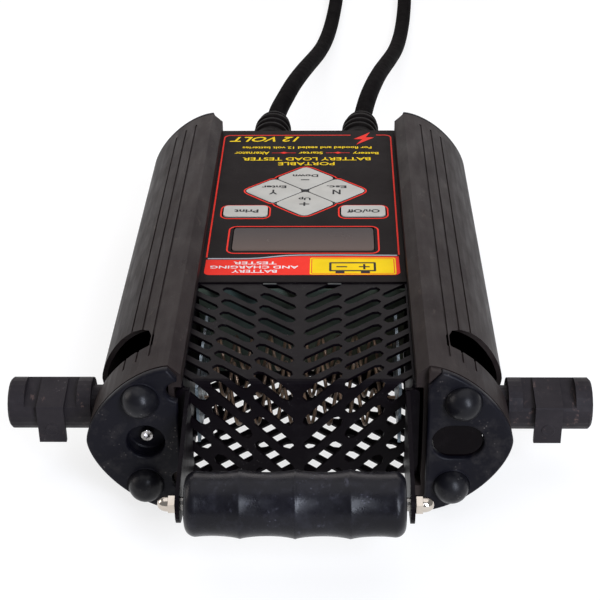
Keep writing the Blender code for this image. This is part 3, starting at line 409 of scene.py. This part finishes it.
UPRIGHT = Matrix.Rotation(math.pi / 2, 4, "X")     # what faced up faces the carrying grip
TO_BACK = Matrix.Rotation(-math.pi / 2, 4, "X")    # what faced up faces the cables
ALONG_X = Matrix.Rotation(math.pi / 2, 4, "Y")     # what faced up faces right
TO_MODEL = Matrix.Translation(ORIGIN) @ Matrix.Scale(1 / MM, 4)


def piece(name, mesh, material, body=BODY, turn=Matrix.Identity(4), move=(0, 0, 0),
          replaces=(), sharp=32.0):
    """A shown piece of the object from a mesh in millimetres."""
    mesh.name = name
    mesh.transform(TO_MODEL @ Matrix.Translation(move) @ turn)
    mesh.materials.clear()
    mesh.materials.append(material)
    mesh.shade_smooth()
    mesh.set_sharp_from_angle(angle=math.radians(sharp))
    obj = bpy.data.objects.new(name, mesh)
    bpy.context.scene.collection.objects.link(obj)
    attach(obj, body)
    if replaces:
        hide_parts(*replaces)


BEVEL_ANGLE = math.radians(35)


def dress(node, material, edge, steps=2):
    """A better finish, and finely rounded edges, on a CAD node that stays."""
    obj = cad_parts[node]
    obj.data.materials.clear()
    obj.data.materials.append(material)
    bevel = obj.modifiers.new("soft_edges", "BEVEL")
    bevel.width = edge / MM
    bevel.segments = steps
    bevel.limit_method = "ANGLE"
    bevel.angle_limit = BEVEL_ANGLE
    bevel.harden_normals = True


# --- CAD nodes that stay -------------------------------------------------------------------------
def dress_nodes():
    for node, edge in (("grille_cover", 0.22), ("top_panel", 0.2), ("bottom_panel", 0.3),
                       ("rear_panel", 0.4), ("side_plate_left", 0.3), ("side_plate_right", 0.3),
                       ("handle_bracket_left", 0.45), ("handle_bracket_right", 0.45)):
        dress(node, PAINT, edge)
    for side in ("left", "right"):
        dress("housing_" + side, HOUSING, 0.35)
        dress("clamp_post_" + side, MOULDING, 0.5, 3)
        dress("post_saddle_" + side, MOULDING, 0.7, 3)
        dress("tie_rod_" + side, NICKEL_PAINTED_SHADE, 0.15)
        dress("bus_bar_" + side, TINNED_PAINTED_GLINTS, 0.2)
    for node, material, edge in (
            ("handle_rod", STEEL, 0.2), ("infrared_lens", LENS, 0.3),
            ("panel_overlay", OVERLAY, 0.12), ("display_module", BOARD, 0.4),
            ("circuit_board", BOARD, 0.2), ("partition_board", BOARD, 0.2),
            ("load_relay", MOULDING, 0.8), ("current_shunt", COPPER, 0.4)):
        dress(node, material, edge)
    for colour, material in (("red", RED_CLAMP), ("black", BLACK_CLAMP)):
        dress(colour + "_clamp_pin", STEEL, 0.3)
        dress(colour + "_clamp_fixed_jaw", material, 1.0, 3)
        dress(colour + "_clamp_moving_jaw", material, 1.0, 3)
    for key in ("print", "power"):
        dress(key + "_key", KEY, 0.25, 3)


# --- side housings' ends -------------------------------------------------------------------------
FINEST_STEP = 0.15              # closer points of an outline are left out


def d_outline(inner_x, notches=(), steps=72):
    """The D-shaped edge of a cap, in (x, z), with round bites in its inner edge."""
    power = 2 / HOUSING_EXPONENT
    outline = []
    for i in range(steps + 1):
        angle = math.pi * (0.5 - i / steps)
        across = abs(math.cos(angle)) ** power
        up = math.copysign(abs(math.sin(angle)) ** power, angle)
        outline.append((RIDGE_X + HOUSING_HALF_WIDTH * across, HOUSING_Z + HALF_HEIGHT * up))
    outline.append((inner_x, HOUSING_Z - LIP_TOP))
    for z in sorted(notches):
        outline += arc((inner_x, z), CAP_NOTCH_RADIUS, -90, 90, 14)
    outline.append((inner_x, HOUSING_Z + LIP_TOP))
    kept = [outline[0]]
    for point in outline[1:]:
        if math.dist(point, kept[-1]) > FINEST_STEP:
            kept.append(point)
    return kept


def long_hole(radius):
    x, z = LONG_HOLE
    return (arc((x + LONG_HOLE_HALF, z), radius, -90, 90, 20)
            + arc((x - LONG_HOLE_HALF, z), radius, 90, 270, 20))


def flipped(mesh):
    """The mirror image of a mesh, for the left side."""
    mesh.transform(Matrix.Diagonal((-1, 1, 1, 1)))
    mesh.flip_normals()
    return mesh


def standing(outlines, y0, y1, edge):
    """A plate whose outline is in (x, z), from y0 to y1."""
    mesh = plate(outlines, -y1, -y0, edge)
    mesh.transform(UPRIGHT)
    return mesh


def hex_nut(half_flats, height, crown):
    """A hexagon with rounded edges and a domed crown."""
    corner = half_flats / math.cos(math.pi / 6)
    flats = [(corner * math.cos(math.pi * i / 3), corner * math.sin(math.pi * i / 3))
             for i in range(6)]
    base = plate([flats], 0, height, 0.35, 2)
    radius = half_flats - 0.3
    dome = [(0, height + crown)]
    for i in range(1, 17):
        angle = math.pi / 2 * (1 - i / 16)
        dome.append((radius * math.cos(angle) ** 0.8, height + crown * math.sin(angle)))
    dome += [(radius, height - 0.6), (0, height - 0.6)]
    return joined([base, turned(dome, 40)])


def make_front_caps():
    """The right front cap has a long hole, and the left a round cup and two notches."""
    front = along_y(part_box("front_cap_left")[0].y)
    back = front + CAP_THICKNESS
    inner = CAP_INNER["right"] + RIGHT_OFFSET
    right = [(x + RIGHT_OFFSET, z) for x, z in d_outline(CAP_INNER["right"])]
    right = [(x, z) for x, z in right if x > CAP_CHAMFER_X or z < 0]
    right.append((inner, CAP_CHAMFER_Z))
    long_cup = standing([long_hole(LONG_HOLE_RADIUS + CUP_WALL), long_hole(LONG_HOLE_RADIUS)],
                        back - 0.8, back + 3.0, 0.2)
    face = standing([right, long_hole(LONG_HOLE_RADIUS)], front, back, CAP_EDGE)
    piece("cap_right", joined([face, long_cup]), CAP, replaces=["front_cap_right"])
    web = [(inner + 0.2, CAP_CHAMFER_Z + 1.2), (CAP_CHAMFER_X - 0.7, 38.7),
           (RIDGE_X + RIGHT_OFFSET + 0.6, 39.7), (inner + 0.2, 38.6)]
    piece("housing_web", standing([web], front + 0.9, back + 2.4, 0.3), HOUSING)

    x, z = ROUND_HOLE
    face = standing([d_outline(CAP_INNER["left"], CAP_NOTCHES), circle((x, z), ROUND_HOLE_RADIUS)],
                    front, back, CAP_EDGE)
    bottom = back - HOLE_FLOOR
    outer = ROUND_HOLE_RADIUS + CUP_WALL
    cup = turned([(0, bottom), (ROUND_HOLE_RADIUS - 0.6, bottom), (ROUND_HOLE_RADIUS, bottom + 0.6),
                  (ROUND_HOLE_RADIUS, 0.8), (outer, 0.8), (outer, bottom - 1.5),
                  (0, bottom - 1.5)], 48)
    cup.transform(Matrix.Translation((x, back, z)) @ UPRIGHT)
    piece("cap_left", flipped(joined([face, cup])), CAP,
          replaces=["front_cap_left"])


def make_rear_caps():
    for side, (x, z), offset in (("left", ROUND_HOLE, 0), ("right", LONG_HOLE, RIGHT_OFFSET)):
        low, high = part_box("rear_cap_" + side)
        mesh = standing([d_outline(REAR_CAP_INNER)], along_y(low.y), along_y(high.y), 0.9)
        mesh.transform(Matrix.Translation((offset, 0, 0)))
        if side == "left":
            mesh, x = flipped(mesh), -x
        piece("end_plate_" + side, mesh, CAP, replaces=["rear_cap_" + side])
        piece("end_nut_" + side, hex_nut(NUT_HALF_FLATS, 3.2, 2.4), NICKEL,
              turn=TO_BACK, move=(x, along_y(high.y), z), sharp=25.0)


def make_bumpers():
    """Rubber domes, each in a raised seat ring on its cap."""
    dome = [(BUMPER_RADIUS * math.sin(a), BUMPER_RADIUS * math.cos(a))
            for a in (math.radians(6 * i) for i in range(15))]
    dome += [(BUMPER_RADIUS, 0.5), (BUMPER_RADIUS, 0), (0, 0)]
    outer = BUMPER_RADIUS + 0.95
    seat = [(BUMPER_RADIUS + 0.2, -0.2), (BUMPER_RADIUS + 0.2, 0.15), (BUMPER_RADIUS + 0.4, 0.35),
            (outer - 0.3, 0.30), (outer, -0.05), (outer, -0.2)]
    for node in ("upper_bumper_left", "lower_bumper_left", "upper_bumper_right",
                 "lower_bumper_right"):
        low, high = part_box(node)
        x, z = in_mm((low + high) / 2).xz
        base = along_y(high.y)
        piece(node + "_dome", turned(dome, 56), RUBBER, turn=UPRIGHT, move=(x, base, z),
              replaces=[node])
        piece(node + "_seat", turned(seat, 56), CAP, turn=UPRIGHT,
              move=(x, base + SEAT_HEIGHT, z))


# --- handle --------------------------------------------------------------------------------------
def grip_radius(x):
    groove = abs(math.sin(math.pi * x / GRIP_RIDGE_PITCH)) ** GRIP_GROOVE_EXPONENT
    return GRIP_RADIUS - GRIP_GROOVE_DEPTH * groove


def make_handle():
    """The finger-grooved sleeve with rounded ends, and the rod's domed nuts."""
    end, mouth = 5.0, 1.2
    inner = GRIP_HALF_LENGTH - end
    count = 150
    heights = [inner - 2 * inner * i / count for i in range(count + 1)]
    body = [(grip_radius(x), x) for x in heights]
    rim = body[0][0] - end
    top = [(GRIP_BORE, GRIP_HALF_LENGTH - mouth), (GRIP_BORE + mouth, GRIP_HALF_LENGTH),
           (rim, GRIP_HALF_LENGTH)]
    top += [(rim + end * math.sin(a), inner + end * math.cos(a))
            for a in (math.radians(7.5 * i) for i in range(1, 12))]
    profile = top + body + [(r, -z) for r, z in reversed(top)]
    piece("grip_sleeve", turned(profile, 72), GRIP, body="grip", turn=ALONG_X,
          move=(0, GRIP_AXIS_Y, 0), replaces=["handle_grip"], sharp=60.0)
    hexagon = 3.5
    for side, sign in (("left", -1), ("right", 1)):
        low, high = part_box("acorn_nut_" + side)
        seat = (high.x if sign < 0 else low.x) * MM
        length = (high.x - low.x) * MM
        nut = hex_nut(NUT_HALF_FLATS, hexagon, length - hexagon)
        piece("dome_nut_" + side, nut, NICKEL,
              turn=Matrix.Rotation(sign * math.pi / 2, 4, "Y"), move=(seat, GRIP_AXIS_Y, 0),
              replaces=["acorn_nut_" + side], sharp=25.0)


# --- load coils ----------------------------------------------------------------------------------
def make_coils():
    """Wound resistance wire in place of each plain coil, its ends straight to the bus bars."""
    turns, per_turn, wire, lead, inset = 10, 24, 0.95, 3.4, 3.6
    for node in ("load_coil_1", "load_coil_2", "load_coil_3"):
        low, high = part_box(node)
        centre = in_mm((low + high) / 2)
        radius = (high.z - low.z) * MM / 2 - wire
        reach = (high.x - low.x) * MM / 2 - inset
        points = []
        for i in range(turns * per_turn + 1):
            angle = 2 * math.pi * i / per_turn
            across = -reach + 2 * reach * i / (turns * per_turn)
            points.append((across, centre.y + radius * math.cos(angle),
                           centre.z + radius * math.sin(angle)))
        points = [(-reach - lead, *points[0][1:])] + points + [(reach + lead, *points[-1][1:])]
        curve = bpy.data.curves.new(node + "_wire", "CURVE")
        curve.dimensions = "3D"
        curve.bevel_depth = wire
        curve.bevel_resolution = 3
        curve.use_fill_caps = True
        spline = curve.splines.new("POLY")
        spline.points.add(len(points) - 1)
        for point, spot in zip(spline.points, points):
            point.co = (*spot, 1)
        piece(node + "_winding", curve_mesh(curve), WIRE, replaces=[node],
              sharp=50.0)


# --- glands --------------------------------------------------------------------------------------
def make_glands():
    """Ribbed strain reliefs that lean the way their cables go."""
    bore, neck, flange, shank = 6.7, 8.2, 6.0, 7.0
    rib_pitch, half_width = 7.6, 13.0
    for side, lean in (("left", 0.0532), ("right", 0.0824)):
        node = "cable_gland_" + side
        low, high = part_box(node)
        base = along_y(low.y) + shank
        length = along_y(high.y) - base
        profile = [(bore, length - 1.0), (bore + 0.8, length), (neck, length)]
        profile += [(neck + 3.3 * math.sin(a), length - 5.6 + 5.6 * math.cos(a))
                    for a in (math.radians(15 * i) for i in range(1, 7))]
        z = length - 6.6
        for _ in range(3):
            profile += [(10.9, z), (10.8, z - 0.6), (10.9, z - 1.2), (11.9, z - 2.1),
                        (12.4, z - 3.0), (12.5, z - 4.6), (12.4, z - 6.0), (11.8, z - 7.0)]
            z -= rib_pitch
        profile += [(11.2, z), (11.2, flange), (12.4, flange), (half_width, flange - 0.6),
                    (half_width, 0.6), (12.6, 0.0), (7.4, 0.0), (7.4, -shank), (bore, -shank)]
        mesh = turned(profile, 56)
        for vert in mesh.vertices:
            vert.co.x += lean * max(0.0, vert.co.z - flange)
        piece("strain_relief_" + side, mesh, GLAND, turn=TO_BACK,
              move=(low.x * MM + half_width, base, along_z((low.z + high.z) / 2)),
              replaces=[node], sharp=40.0)


# --- cables --------------------------------------------------------------------------------------
# Each cable from its gland to where its turn starts, in (x, y) from ORIGIN.
LEFT_ROUTE = [(-0.0240, 0.3508), (-0.0233, 0.362), (-0.0218, 0.377), (-0.0182, 0.403),
              (-0.0133, 0.443), (-0.0087, 0.482), (-0.0032, 0.530), (0.0006, 0.562),
              (0.0052, 0.600), (0.0094, 0.640), (0.0132, 0.680), (0.0172, 0.730),
              (0.0202, 0.790), (0.0212, 0.868)]
RIGHT_ROUTE = [(0.0366, 0.3508), (0.0376, 0.362), (0.0389, 0.374), (0.0425, 0.405),
               (0.0473, 0.442), (0.0526, 0.482), (0.0595, 0.530), (0.0642, 0.562),
               (0.0695, 0.600), (0.0743, 0.640), (0.0784, 0.680), (0.0826, 0.730),
               (0.0858, 0.790), (0.0868, 0.868)]
# After the turn: distance on, share of its rise left, share of the way to the clamp's place.
TAIL = ((0.026, 1.0, 0.0), (0.048, 0.85, 0.1), (0.070, 0.48, 0.45), (0.092, 0.12, 0.85),
        (0.110, 0.0, 1.0), (0.124, 0.0, 1.0))
DROP_START, DROP_END = 0.362, 0.700     # along Y, where a cable starts down and is on the floor
LOOP_RADIUS = 0.066
LOOP_STEPS = 16
LOOP_RISE = 0.0140              # how far the turn climbs, to pass over its own start
GLAND_Z = 0.0125                # the height at which a cable leaves its gland, from ORIGIN
FLOOR_GAP = 0.0002
CLAMP_DRIFT = 0.012             # how far a clamp lies to the side of the end of its turn
CLAMP_MID_HEIGHT = 0.0126


def cable_line(route, sign):
    """A cable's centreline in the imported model: down to the floor, one turn, into its clamp."""
    floor = -ORIGIN.z
    lying = floor + CABLE_DIAMETER / 2 + FLOOR_GAP
    line = []
    for x, y in route:
        share = min(1.0, max(0.0, (y - DROP_START) / (DROP_END - DROP_START)))
        line.append(Vector((x, y, GLAND_Z + (lying - GLAND_Z) * share * share * (3 - 2 * share))))
    start = line[-1]
    centre = start - Vector((sign * LOOP_RADIUS, 0, 0))
    for i in range(1, LOOP_STEPS + 1):
        angle = 2 * math.pi * i / LOOP_STEPS
        lift = LOOP_RISE * (1 - math.cos(math.pi * max(0.0, i / LOOP_STEPS - 0.5) * 2)) / 2
        line.append(centre + Vector((sign * LOOP_RADIUS * math.cos(angle),
                                     LOOP_RADIUS * math.sin(angle), lift)))
    end = line[-1]
    for ahead, rise, shift in TAIL:
        height = lying + LOOP_RISE * rise + (floor + CLAMP_MID_HEIGHT - lying) * shift
        line.append(Vector((end.x - sign * CLAMP_DRIFT * shift, end.y + ahead, height)))
    return [ORIGIN + point for point in line]


def make_cables():
    for colour, route, sign, length in (("red", LEFT_ROUTE, 1, 1.064),
                                        ("black", RIGHT_ROUTE, -1, 1.065)):
        line = cable_line(route, sign)
        curve = bpy.data.curves.new(colour + "_lead", "CURVE")
        curve.dimensions = "3D"
        curve.bevel_depth = CABLE_DIAMETER / 2
        curve.bevel_resolution = 7
        curve.resolution_u = 24
        curve.use_fill_caps = True
        spline = curve.splines.new("BEZIER")
        spline.bezier_points.add(len(line) - 1)
        for knot, point in zip(spline.bezier_points, line):
            knot.co = point
            knot.handle_left_type = knot.handle_right_type = "AUTO"
        curve.materials.append(JACKET)
        lead = bpy.data.objects.new(colour + "_lead", curve)
        bpy.context.scene.collection.objects.link(lead)
        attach(lead, BODY)
        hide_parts(colour + "_cable")


# --- display -------------------------------------------------------------------------------------
def make_display():
    """The display's window with round corners."""
    (x0, y0, z0), (x1, y1, z1) = (in_mm(corner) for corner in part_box("display_window"))
    piece("display_face", plate([rounded(x0, y0, x1, y1, 3.0)], z0, z1, 0.15), DISPLAY,
          replaces=["display_window"])


# --- printing on the panel -----------------------------------------------------------------------
INK = 0.04                      # the thickness of a layer of ink, each on the one below
INK_GAP = 0.01                  # and the gap under each
BORDER = 0.9                    # the width of the red outlines
panel_top = along_z(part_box("panel_overlay")[1].z)


def stroke(points, width, closed=False):
    """Outlines of a line of the given width along the points, open or closed."""
    count = len(points)
    sides = ([], [])
    for i, point in enumerate(points):
        before = points[i - 1] if closed or i else point
        after = points[(i + 1) % count] if closed or i < count - 1 else point
        one = Vector(point) - Vector(before)
        two = Vector(after) - Vector(point)
        one = one.normalized() if one.length else two.normalized()
        two = two.normalized() if two.length else one
        middle = (one + two).normalized()
        normal = Vector((-middle.y, middle.x)) * width / 2 / max(0.4, middle.dot(one))
        sides[0].append(tuple(Vector(point) + normal))
        sides[1].append(tuple(Vector(point) - normal))
    if closed:
        return [sides[1], sides[0]]
    return [sides[0] + sides[1][::-1]]


def ink_level(level):
    return INK_GAP + level * (INK + INK_GAP)


def ink(outlines, level=0):
    low = ink_level(level)
    return plate(outlines, low, low + INK)


def lettering(words, x, y, width, height, level=0, slant=0.0, weight=0.16):
    """Words centred on a point and fitted to a size, upright for a reader behind the cables."""
    text = bpy.data.curves.new("words", "FONT")
    text.body = words
    text.size = 10
    text.shear = slant
    text.extrude = INK / 2
    text.offset = weight
    text.resolution_u = 3
    mesh = curve_mesh(text)
    xs = [v.co.x for v in mesh.vertices]
    ys = [v.co.y for v in mesh.vertices]
    across, along = max(xs) - min(xs), max(ys) - min(ys)
    mesh.transform(Matrix.Translation((x, y, ink_level(level) + INK / 2))
                   @ Matrix.Diagonal((-width / across, -height / along, 1, 1))
                   @ Matrix.Translation((-(max(xs) + min(xs)) / 2, -(max(ys) + min(ys)) / 2, 0)))
    return mesh


def ring(x0, y0, x1, y1, radius, width, level=0):
    return ink(stroke(rounded(x0, y0, x1, y1, radius), width, closed=True), level)


def diamond(cx, cy, half_x, half_y, cut=0.10, steps=5):
    """A rhombus with softly rounded corners."""
    corners = [(cx + half_x, cy), (cx, cy + half_y), (cx - half_x, cy), (cx, cy - half_y)]
    outline = []
    for i, corner in enumerate(corners):
        before, after = Vector(corners[i - 1]), Vector(corners[(i + 1) % 4])
        here = Vector(corner)
        start, stop = here.lerp(before, cut), here.lerp(after, cut)
        for k in range(steps + 1):
            t = k / steps
            outline.append(tuple(start.lerp(here, t).lerp(here.lerp(stop, t), t)))
    return outline


LONG_SIDE = 20                  # a straight side of the diamond, not a step round a corner
NICK_HALF_WIDTH = 2.2
NICK_DEPTH = 1.1


def pinched(outline):
    """A diamond's outline with a small nick in the middle of each side."""
    points = []
    count = len(outline)
    for i, point in enumerate(outline):
        points.append(point)
        here, ahead = Vector(point), Vector(outline[(i + 1) % count])
        side = ahead - here
        if side.length > LONG_SIDE:
            along = side.normalized()
            inward = Vector((-along.y, along.x))
            middle = (here + ahead) / 2
            points += [tuple(middle - along * NICK_HALF_WIDTH), tuple(middle + inward * NICK_DEPTH),
                       tuple(middle + along * NICK_HALF_WIDTH)]
    return points


def make_keys():
    """The diamond's four rounded rhombus keys, and a black cross of painted shade in the gaps
    between them.
    """
    near, far = DIAMOND_Y - KEY_SPACING_Y, DIAMOND_Y + KEY_SPACING_Y
    for key, x, y in (("up", 0, near), ("down", 0, far), ("enter", -KEY_SPACING_X, DIAMOND_Y),
                      ("escape", KEY_SPACING_X, DIAMOND_Y)):
        node = key + "_key"
        z0, z1 = (along_z(corner.z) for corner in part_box(node))
        piece(node + "_face", plate([diamond(x, y, 18.55, 17.3, 0.17)], z0, z1, 0.2), KEY,
              body=node + "_body", replaces=[node])
    # The black strokes and the small diamond where the gaps meet are painted shade in the gaps
    # between the keys.
    width, top = 0.6, 0.22
    cross = [plate(stroke([(-19, near), (19, far)], width), INK_GAP, top),
             plate(stroke([(19, near), (0.4, DIAMOND_Y - 0.37)], width), INK_GAP, top),
             plate(stroke([(-0.4, DIAMOND_Y + 0.37), (-19, far)], width), INK_GAP, top),
             plate([diamond(0, DIAMOND_Y, 2.6, 2.4)], INK_GAP, 0.18)]
    piece("key_gap_painted_shade", joined(cross), BLACK_INK, move=(0, 0, panel_top))


def make_print():
    """The panel's printing, one piece for each colour of ink."""
    swoosh = [(-53.2, 125.0), (-36.0, 124.9), (-29.0, 125.1), (-23.0, 125.9), (-16.0, 127.4),
              (-9.5, 128.6), (-1.5, 129.2), (20.0, 129.3), (53.2, 128.8)]
    band = arc((-51.0, 109.4), 3.2, 180, 270, 5) + arc((51.0, 109.4), 3.2, 270, 360, 5)
    band += [(54.0, 127.6)] + [(x, y - 1.25) for x, y in reversed(swoosh[1:-1])] + [(-54.0, 123.8)]
    border_left = [(-54.0, 126.6), (-54.6, 291.0)] + arc((-50.6, 293.0), 4.0, 180, 90, 6)[1:]
    border_left.append((28.5, 297.0))
    border_right = [(45.5, 297.0)] + arc((50.9, 293.0), 4.0, 90, 0, 6) + [(54.2, 129.6)]
    red = [ink([band]), ink(stroke(border_left, BORDER)), ink(stroke(border_right, BORDER)),
           ring(-43.2, 131.4, 43.2, 164.6, 4.5, BORDER),
           ring(-49.6, 174.9, -20.5, 192.2, 4.6, BORDER),
           ring(20.5, 174.9, 49.6, 192.2, 4.6, BORDER),
           ink(stroke(pinched(diamond(0, DIAMOND_Y, 39.9, 37.3, 0.13)), BORDER, closed=True)),
           ring(5.3, 107.7, 51.1, 124.8, 1.0, BORDER / 2, 2)]
    bolt = [(41.5, 301.5), (30.5, 290.5), (36.2, 290.2), (32.0, 281.5), (44.0, 293.0),
            (38.4, 293.4)]
    red.append(ink([bolt], 1))
    rule_y = 268.8
    for x0, x1 in ((-22.5, -7.0), (12.3, 27.8)):
        red += [ink(stroke([(x0, rule_y), (x1, rule_y)], BORDER / 2)),
                ink([diamond((x0 + x1) / 2, rule_y, 2.6, 1.5)], 1)]
    piece("red_print", joined(red), RED_INK, move=(0, 0, panel_top))

    yellow = [ink([rounded(4.3, 106.6, 52.1, 126.0, 1.4)], 1),
              lettering("PORTABLE", 0, 252.1, 36.0, 4.6),
              lettering("BATTERY LOAD TESTER", 0, 259.4, 82.0, 4.6),
              lettering("Alternator", -35.4, 268.6, 22.5, 4.4),
              lettering("Starter", 2.6, 268.6, 15.6, 3.7),
              lettering("Battery", 38.0, 268.6, 16.6, 4.4),
              lettering("For flooded and sealed 12 volt batteries", 0, 277.0, 84.0, 3.6),
              lettering("12 VOLT", -28.2, 290.6, 46.0, 7.8, slant=0.35)]
    piece("yellow_print", joined(yellow), YELLOW_INK, move=(0, 0, panel_top))

    white = [lettering("BATTERY", -26.4, 110.3, 25.0, 3.2, 1),
             lettering("AND CHARGING", -26.6, 115.1, 49.0, 3.2, 1),
             lettering("TESTER", -26.5, 119.9, 24.4, 3.2, 1)]
    piece("white_print", joined(white), WHITE_INK, move=(0, 0, panel_top))
    piece("silver_print", joined([ink(stroke(swoosh, 1.2), 1)]), SILVER_INK,
          move=(0, 0, panel_top))

    # A battery seen from the side: its case, two terminals, a minus and a plus.
    case = rounded(15.0, 110.2, 41.0, 120.6, 0.8)
    inside = rounded(16.3, 111.5, 39.7, 119.3, 0.4)
    marks = ((18.5, 107.9, 23.5, 110.2, 0.3), (32.5, 107.9, 37.5, 110.2, 0.3),
             (19.0, 114.8, 25.0, 116.0, 0.2), (31.5, 114.8, 37.5, 116.0, 0.2),
             (33.9, 112.4, 35.1, 114.8, 0.2), (33.9, 116.0, 35.1, 118.4, 0.2))
    black = [ink([case, inside], 2)] + [ink([rounded(*mark)], 2) for mark in marks]
    piece("black_print", joined(black), BLACK_INK, move=(0, 0, panel_top))


def bar(x, y, half_x, half_y):
    return ink([rounded(x - half_x, y - half_y, x + half_x, y + half_y, 0.2)])


def legend(words, x, y, width, height):
    return lettering(words, x, y, width, height, weight=0.30)


def make_legends():
    """Plain legends on the keys, each riding on its own key."""
    legends = {
        "up": [bar(-0.2, 193.6, 3.0, 0.55), bar(-0.2, 192.1, 0.6, 0.95),
               bar(-0.2, 195.1, 0.6, 0.95), legend("Up", -0.2, 201.2, 7.4, 4.4)],
        "down": [bar(-0.3, 227.6, 2.6, 0.6), legend("Down", -0.2, 233.6, 16.0, 3.7)],
        "enter": [legend("Y", -19.5, 210.3, 5.2, 6.4), legend("Enter", -19.3, 217.6, 15.2, 3.7)],
        "escape": [legend("N", 19.2, 210.2, 5.0, 6.4), legend("Esc.", 19.2, 217.5, 12.2, 3.7)],
        "print": [legend("Print", -34.6, 184.3, 14.4, 4.3)],
        "power": [legend("On/Off", 35.2, 184.2, 19.4, 4.3)],
    }
    for key, meshes in legends.items():
        top = along_z(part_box(key + "_key")[1].z)
        piece(key + "_legend", joined(meshes), BLACK_INK, body=key + "_key_body",
              move=(0, 0, top))


# --- small fittings ------------------------------------------------------------------------------
def make_fittings():
    """Sheet tabs at the grille's rear edge, round gate marks on the saddles' legs, rear screws."""
    for node in ("post_saddle_left", "post_saddle_right"):
        low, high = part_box(node)
        mark = [(0, -0.06), (1.2, -0.05), (2.1, 0.05), (2.6, 0.24), (3.0, 0.30), (3.3, 0.22),
                (3.5, 0), (3.5, -0.2), (0, -0.2)]
        piece(node + "_mark", turned(mark, 40), MOULDING, turn=UPRIGHT,
              move=((low.x + high.x) * MM / 2, along_y(low.y) - 0.02, along_z(low.z) + 8.0))
    for side, x in (("left", -17.3), ("right", 18.0)):
        tab = plate([rounded(-3.7, -0.7, 3.7, 0.7, 0.3)], 0, 0.35, 0.1)
        piece("edge_tab_" + side, tab, TAB, move=(x, 97.3, GRILLE_TOP + 0.02))
    back = along_y(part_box("rear_panel")[1].y)
    head = [(0, 0.7), (1.1, 0.7), (1.3, 1.7), (1.9, 1.75), (2.5, 1.45), (2.9, 0.8), (3.0, 0),
            (0, 0)]
    for i, (x, z) in enumerate(((-51.0, 19.0), (51.0, 19.0), (-51.0, -23.0), (51.0, -23.0))):
        piece(f"rear_screw_{i + 1}", turned(head, 32), STEEL, turn=TO_BACK,
              move=(x, back, z))


# --- studio --------------------------------------------------------------------------------------
FLOOR_REACH = 12.0              # in metres
FLOOR_GLOW = 0.74
SKY = (0.95, 0.97, 1.0)
SKY_STRENGTH = 0.30
# Each light's name, place, aim, size, power and colour.
LIGHTS = (
    ("top_light", (0.0, 0.3, 2.4), (0, 0, 0), (3.2, 2.6), 30, (0.99, 0.98, 1.0)),
    ("back_light", (0.0, 2.6, 1.1), (0, 0, 0.15), (3.6, 1.7), 26, (1.0, 0.93, 0.92)),
    ("left_light", (-2.0, 0.2, 0.9), (0, 0, 0), (1.2, 1.2), 13, (1.0, 0.93, 0.89)),
    ("front_light", (0.95, -1.75, 1.10), (0, -0.2, 0), (0.6, 1.5), 58, (0.80, 0.86, 1.0)))


def make_studio():
    """A pale floor that glows a little, a pale sky and four soft lights."""
    scene = bpy.context.scene
    scene.view_settings.view_transform = "Standard"
    scene.view_settings.look = "None"
    floor_mesh = bpy.data.meshes.new("floor")
    reach = FLOOR_REACH
    floor_mesh.from_pydata([(-reach, -reach, 0), (reach, -reach, 0), (reach, reach, 0),
                            (-reach, reach, 0)], [], [(0, 1, 2, 3)])
    floor = bpy.data.objects.new("floor", floor_mesh)
    scene.collection.objects.link(floor)
    material = bpy.data.materials.new("pale_floor")
    material.use_nodes = True
    tree = material.node_tree
    shader = tree.nodes["Principled BSDF"]
    base = mixed(tree, between(tree, noise(tree, 2.0, 3.0), 0.3, 0.7), (0.30, 0.30, 0.30),
                 (0.26, 0.26, 0.26))
    tree.links.new(base, shader.inputs["Base Color"])
    shader.inputs["Roughness"].default_value = 0.9
    shader.inputs["Specular IOR Level"].default_value = 0.1
    shader.inputs["Emission Color"].default_value = (1, 1, 1, 1)
    shader.inputs["Emission Strength"].default_value = FLOOR_GLOW
    floor_mesh.materials.append(material)

    world = bpy.data.worlds.new("studio")
    world.use_nodes = True
    background = world.node_tree.nodes["Background"]
    background.inputs["Color"].default_value = rgba(SKY)
    background.inputs["Strength"].default_value = SKY_STRENGTH
    scene.world = world

    for name, where, aim, size, power, colour in LIGHTS:
        light = bpy.data.lights.new(name, "AREA")
        light.shape = "RECTANGLE"
        light.size, light.size_y = size
        light.energy = power
        light.color = colour
        lamp = bpy.data.objects.new(name, light)
        lamp.location = where
        lamp.rotation_euler = (Vector(where) - Vector(aim)).to_track_quat("Z", "Y").to_euler()
        lamp.visible_camera = False
        scene.collection.objects.link(lamp)


CAMERA_PLACE = (0.01824, -0.60049, 0.41923)     # in metres, from ORIGIN
CAMERA_RIGHT = (0.99973, 0.02063, -0.01190)
CAMERA_UP = (0.0, 0.49984, 0.86612)
CAMERA_BACK = (0.02382, -0.86588, 0.49970)


def make_camera():
    """A long lens that looks down at 30 degrees from in front of the carrying grip."""
    camera = bpy.data.cameras.new("camera")
    camera.lens = 88.14
    camera.sensor_width = 36.0
    camera.clip_end = 50.0
    obj = bpy.data.objects.new("camera", camera)
    turn = Matrix((CAMERA_RIGHT, CAMERA_UP, CAMERA_BACK)).transposed().to_4x4()
    obj.matrix_world = Matrix.Translation(ORIGIN + Vector(CAMERA_PLACE)) @ turn
    bpy.context.scene.collection.objects.link(obj)
    bpy.context.scene.camera = obj


make_camera()
make_cables()
dress_nodes()
make_front_caps()
make_rear_caps()
make_bumpers()
make_handle()
make_coils()
make_glands()
make_display()
make_keys()
make_print()
make_legends()
make_fittings()
make_studio()
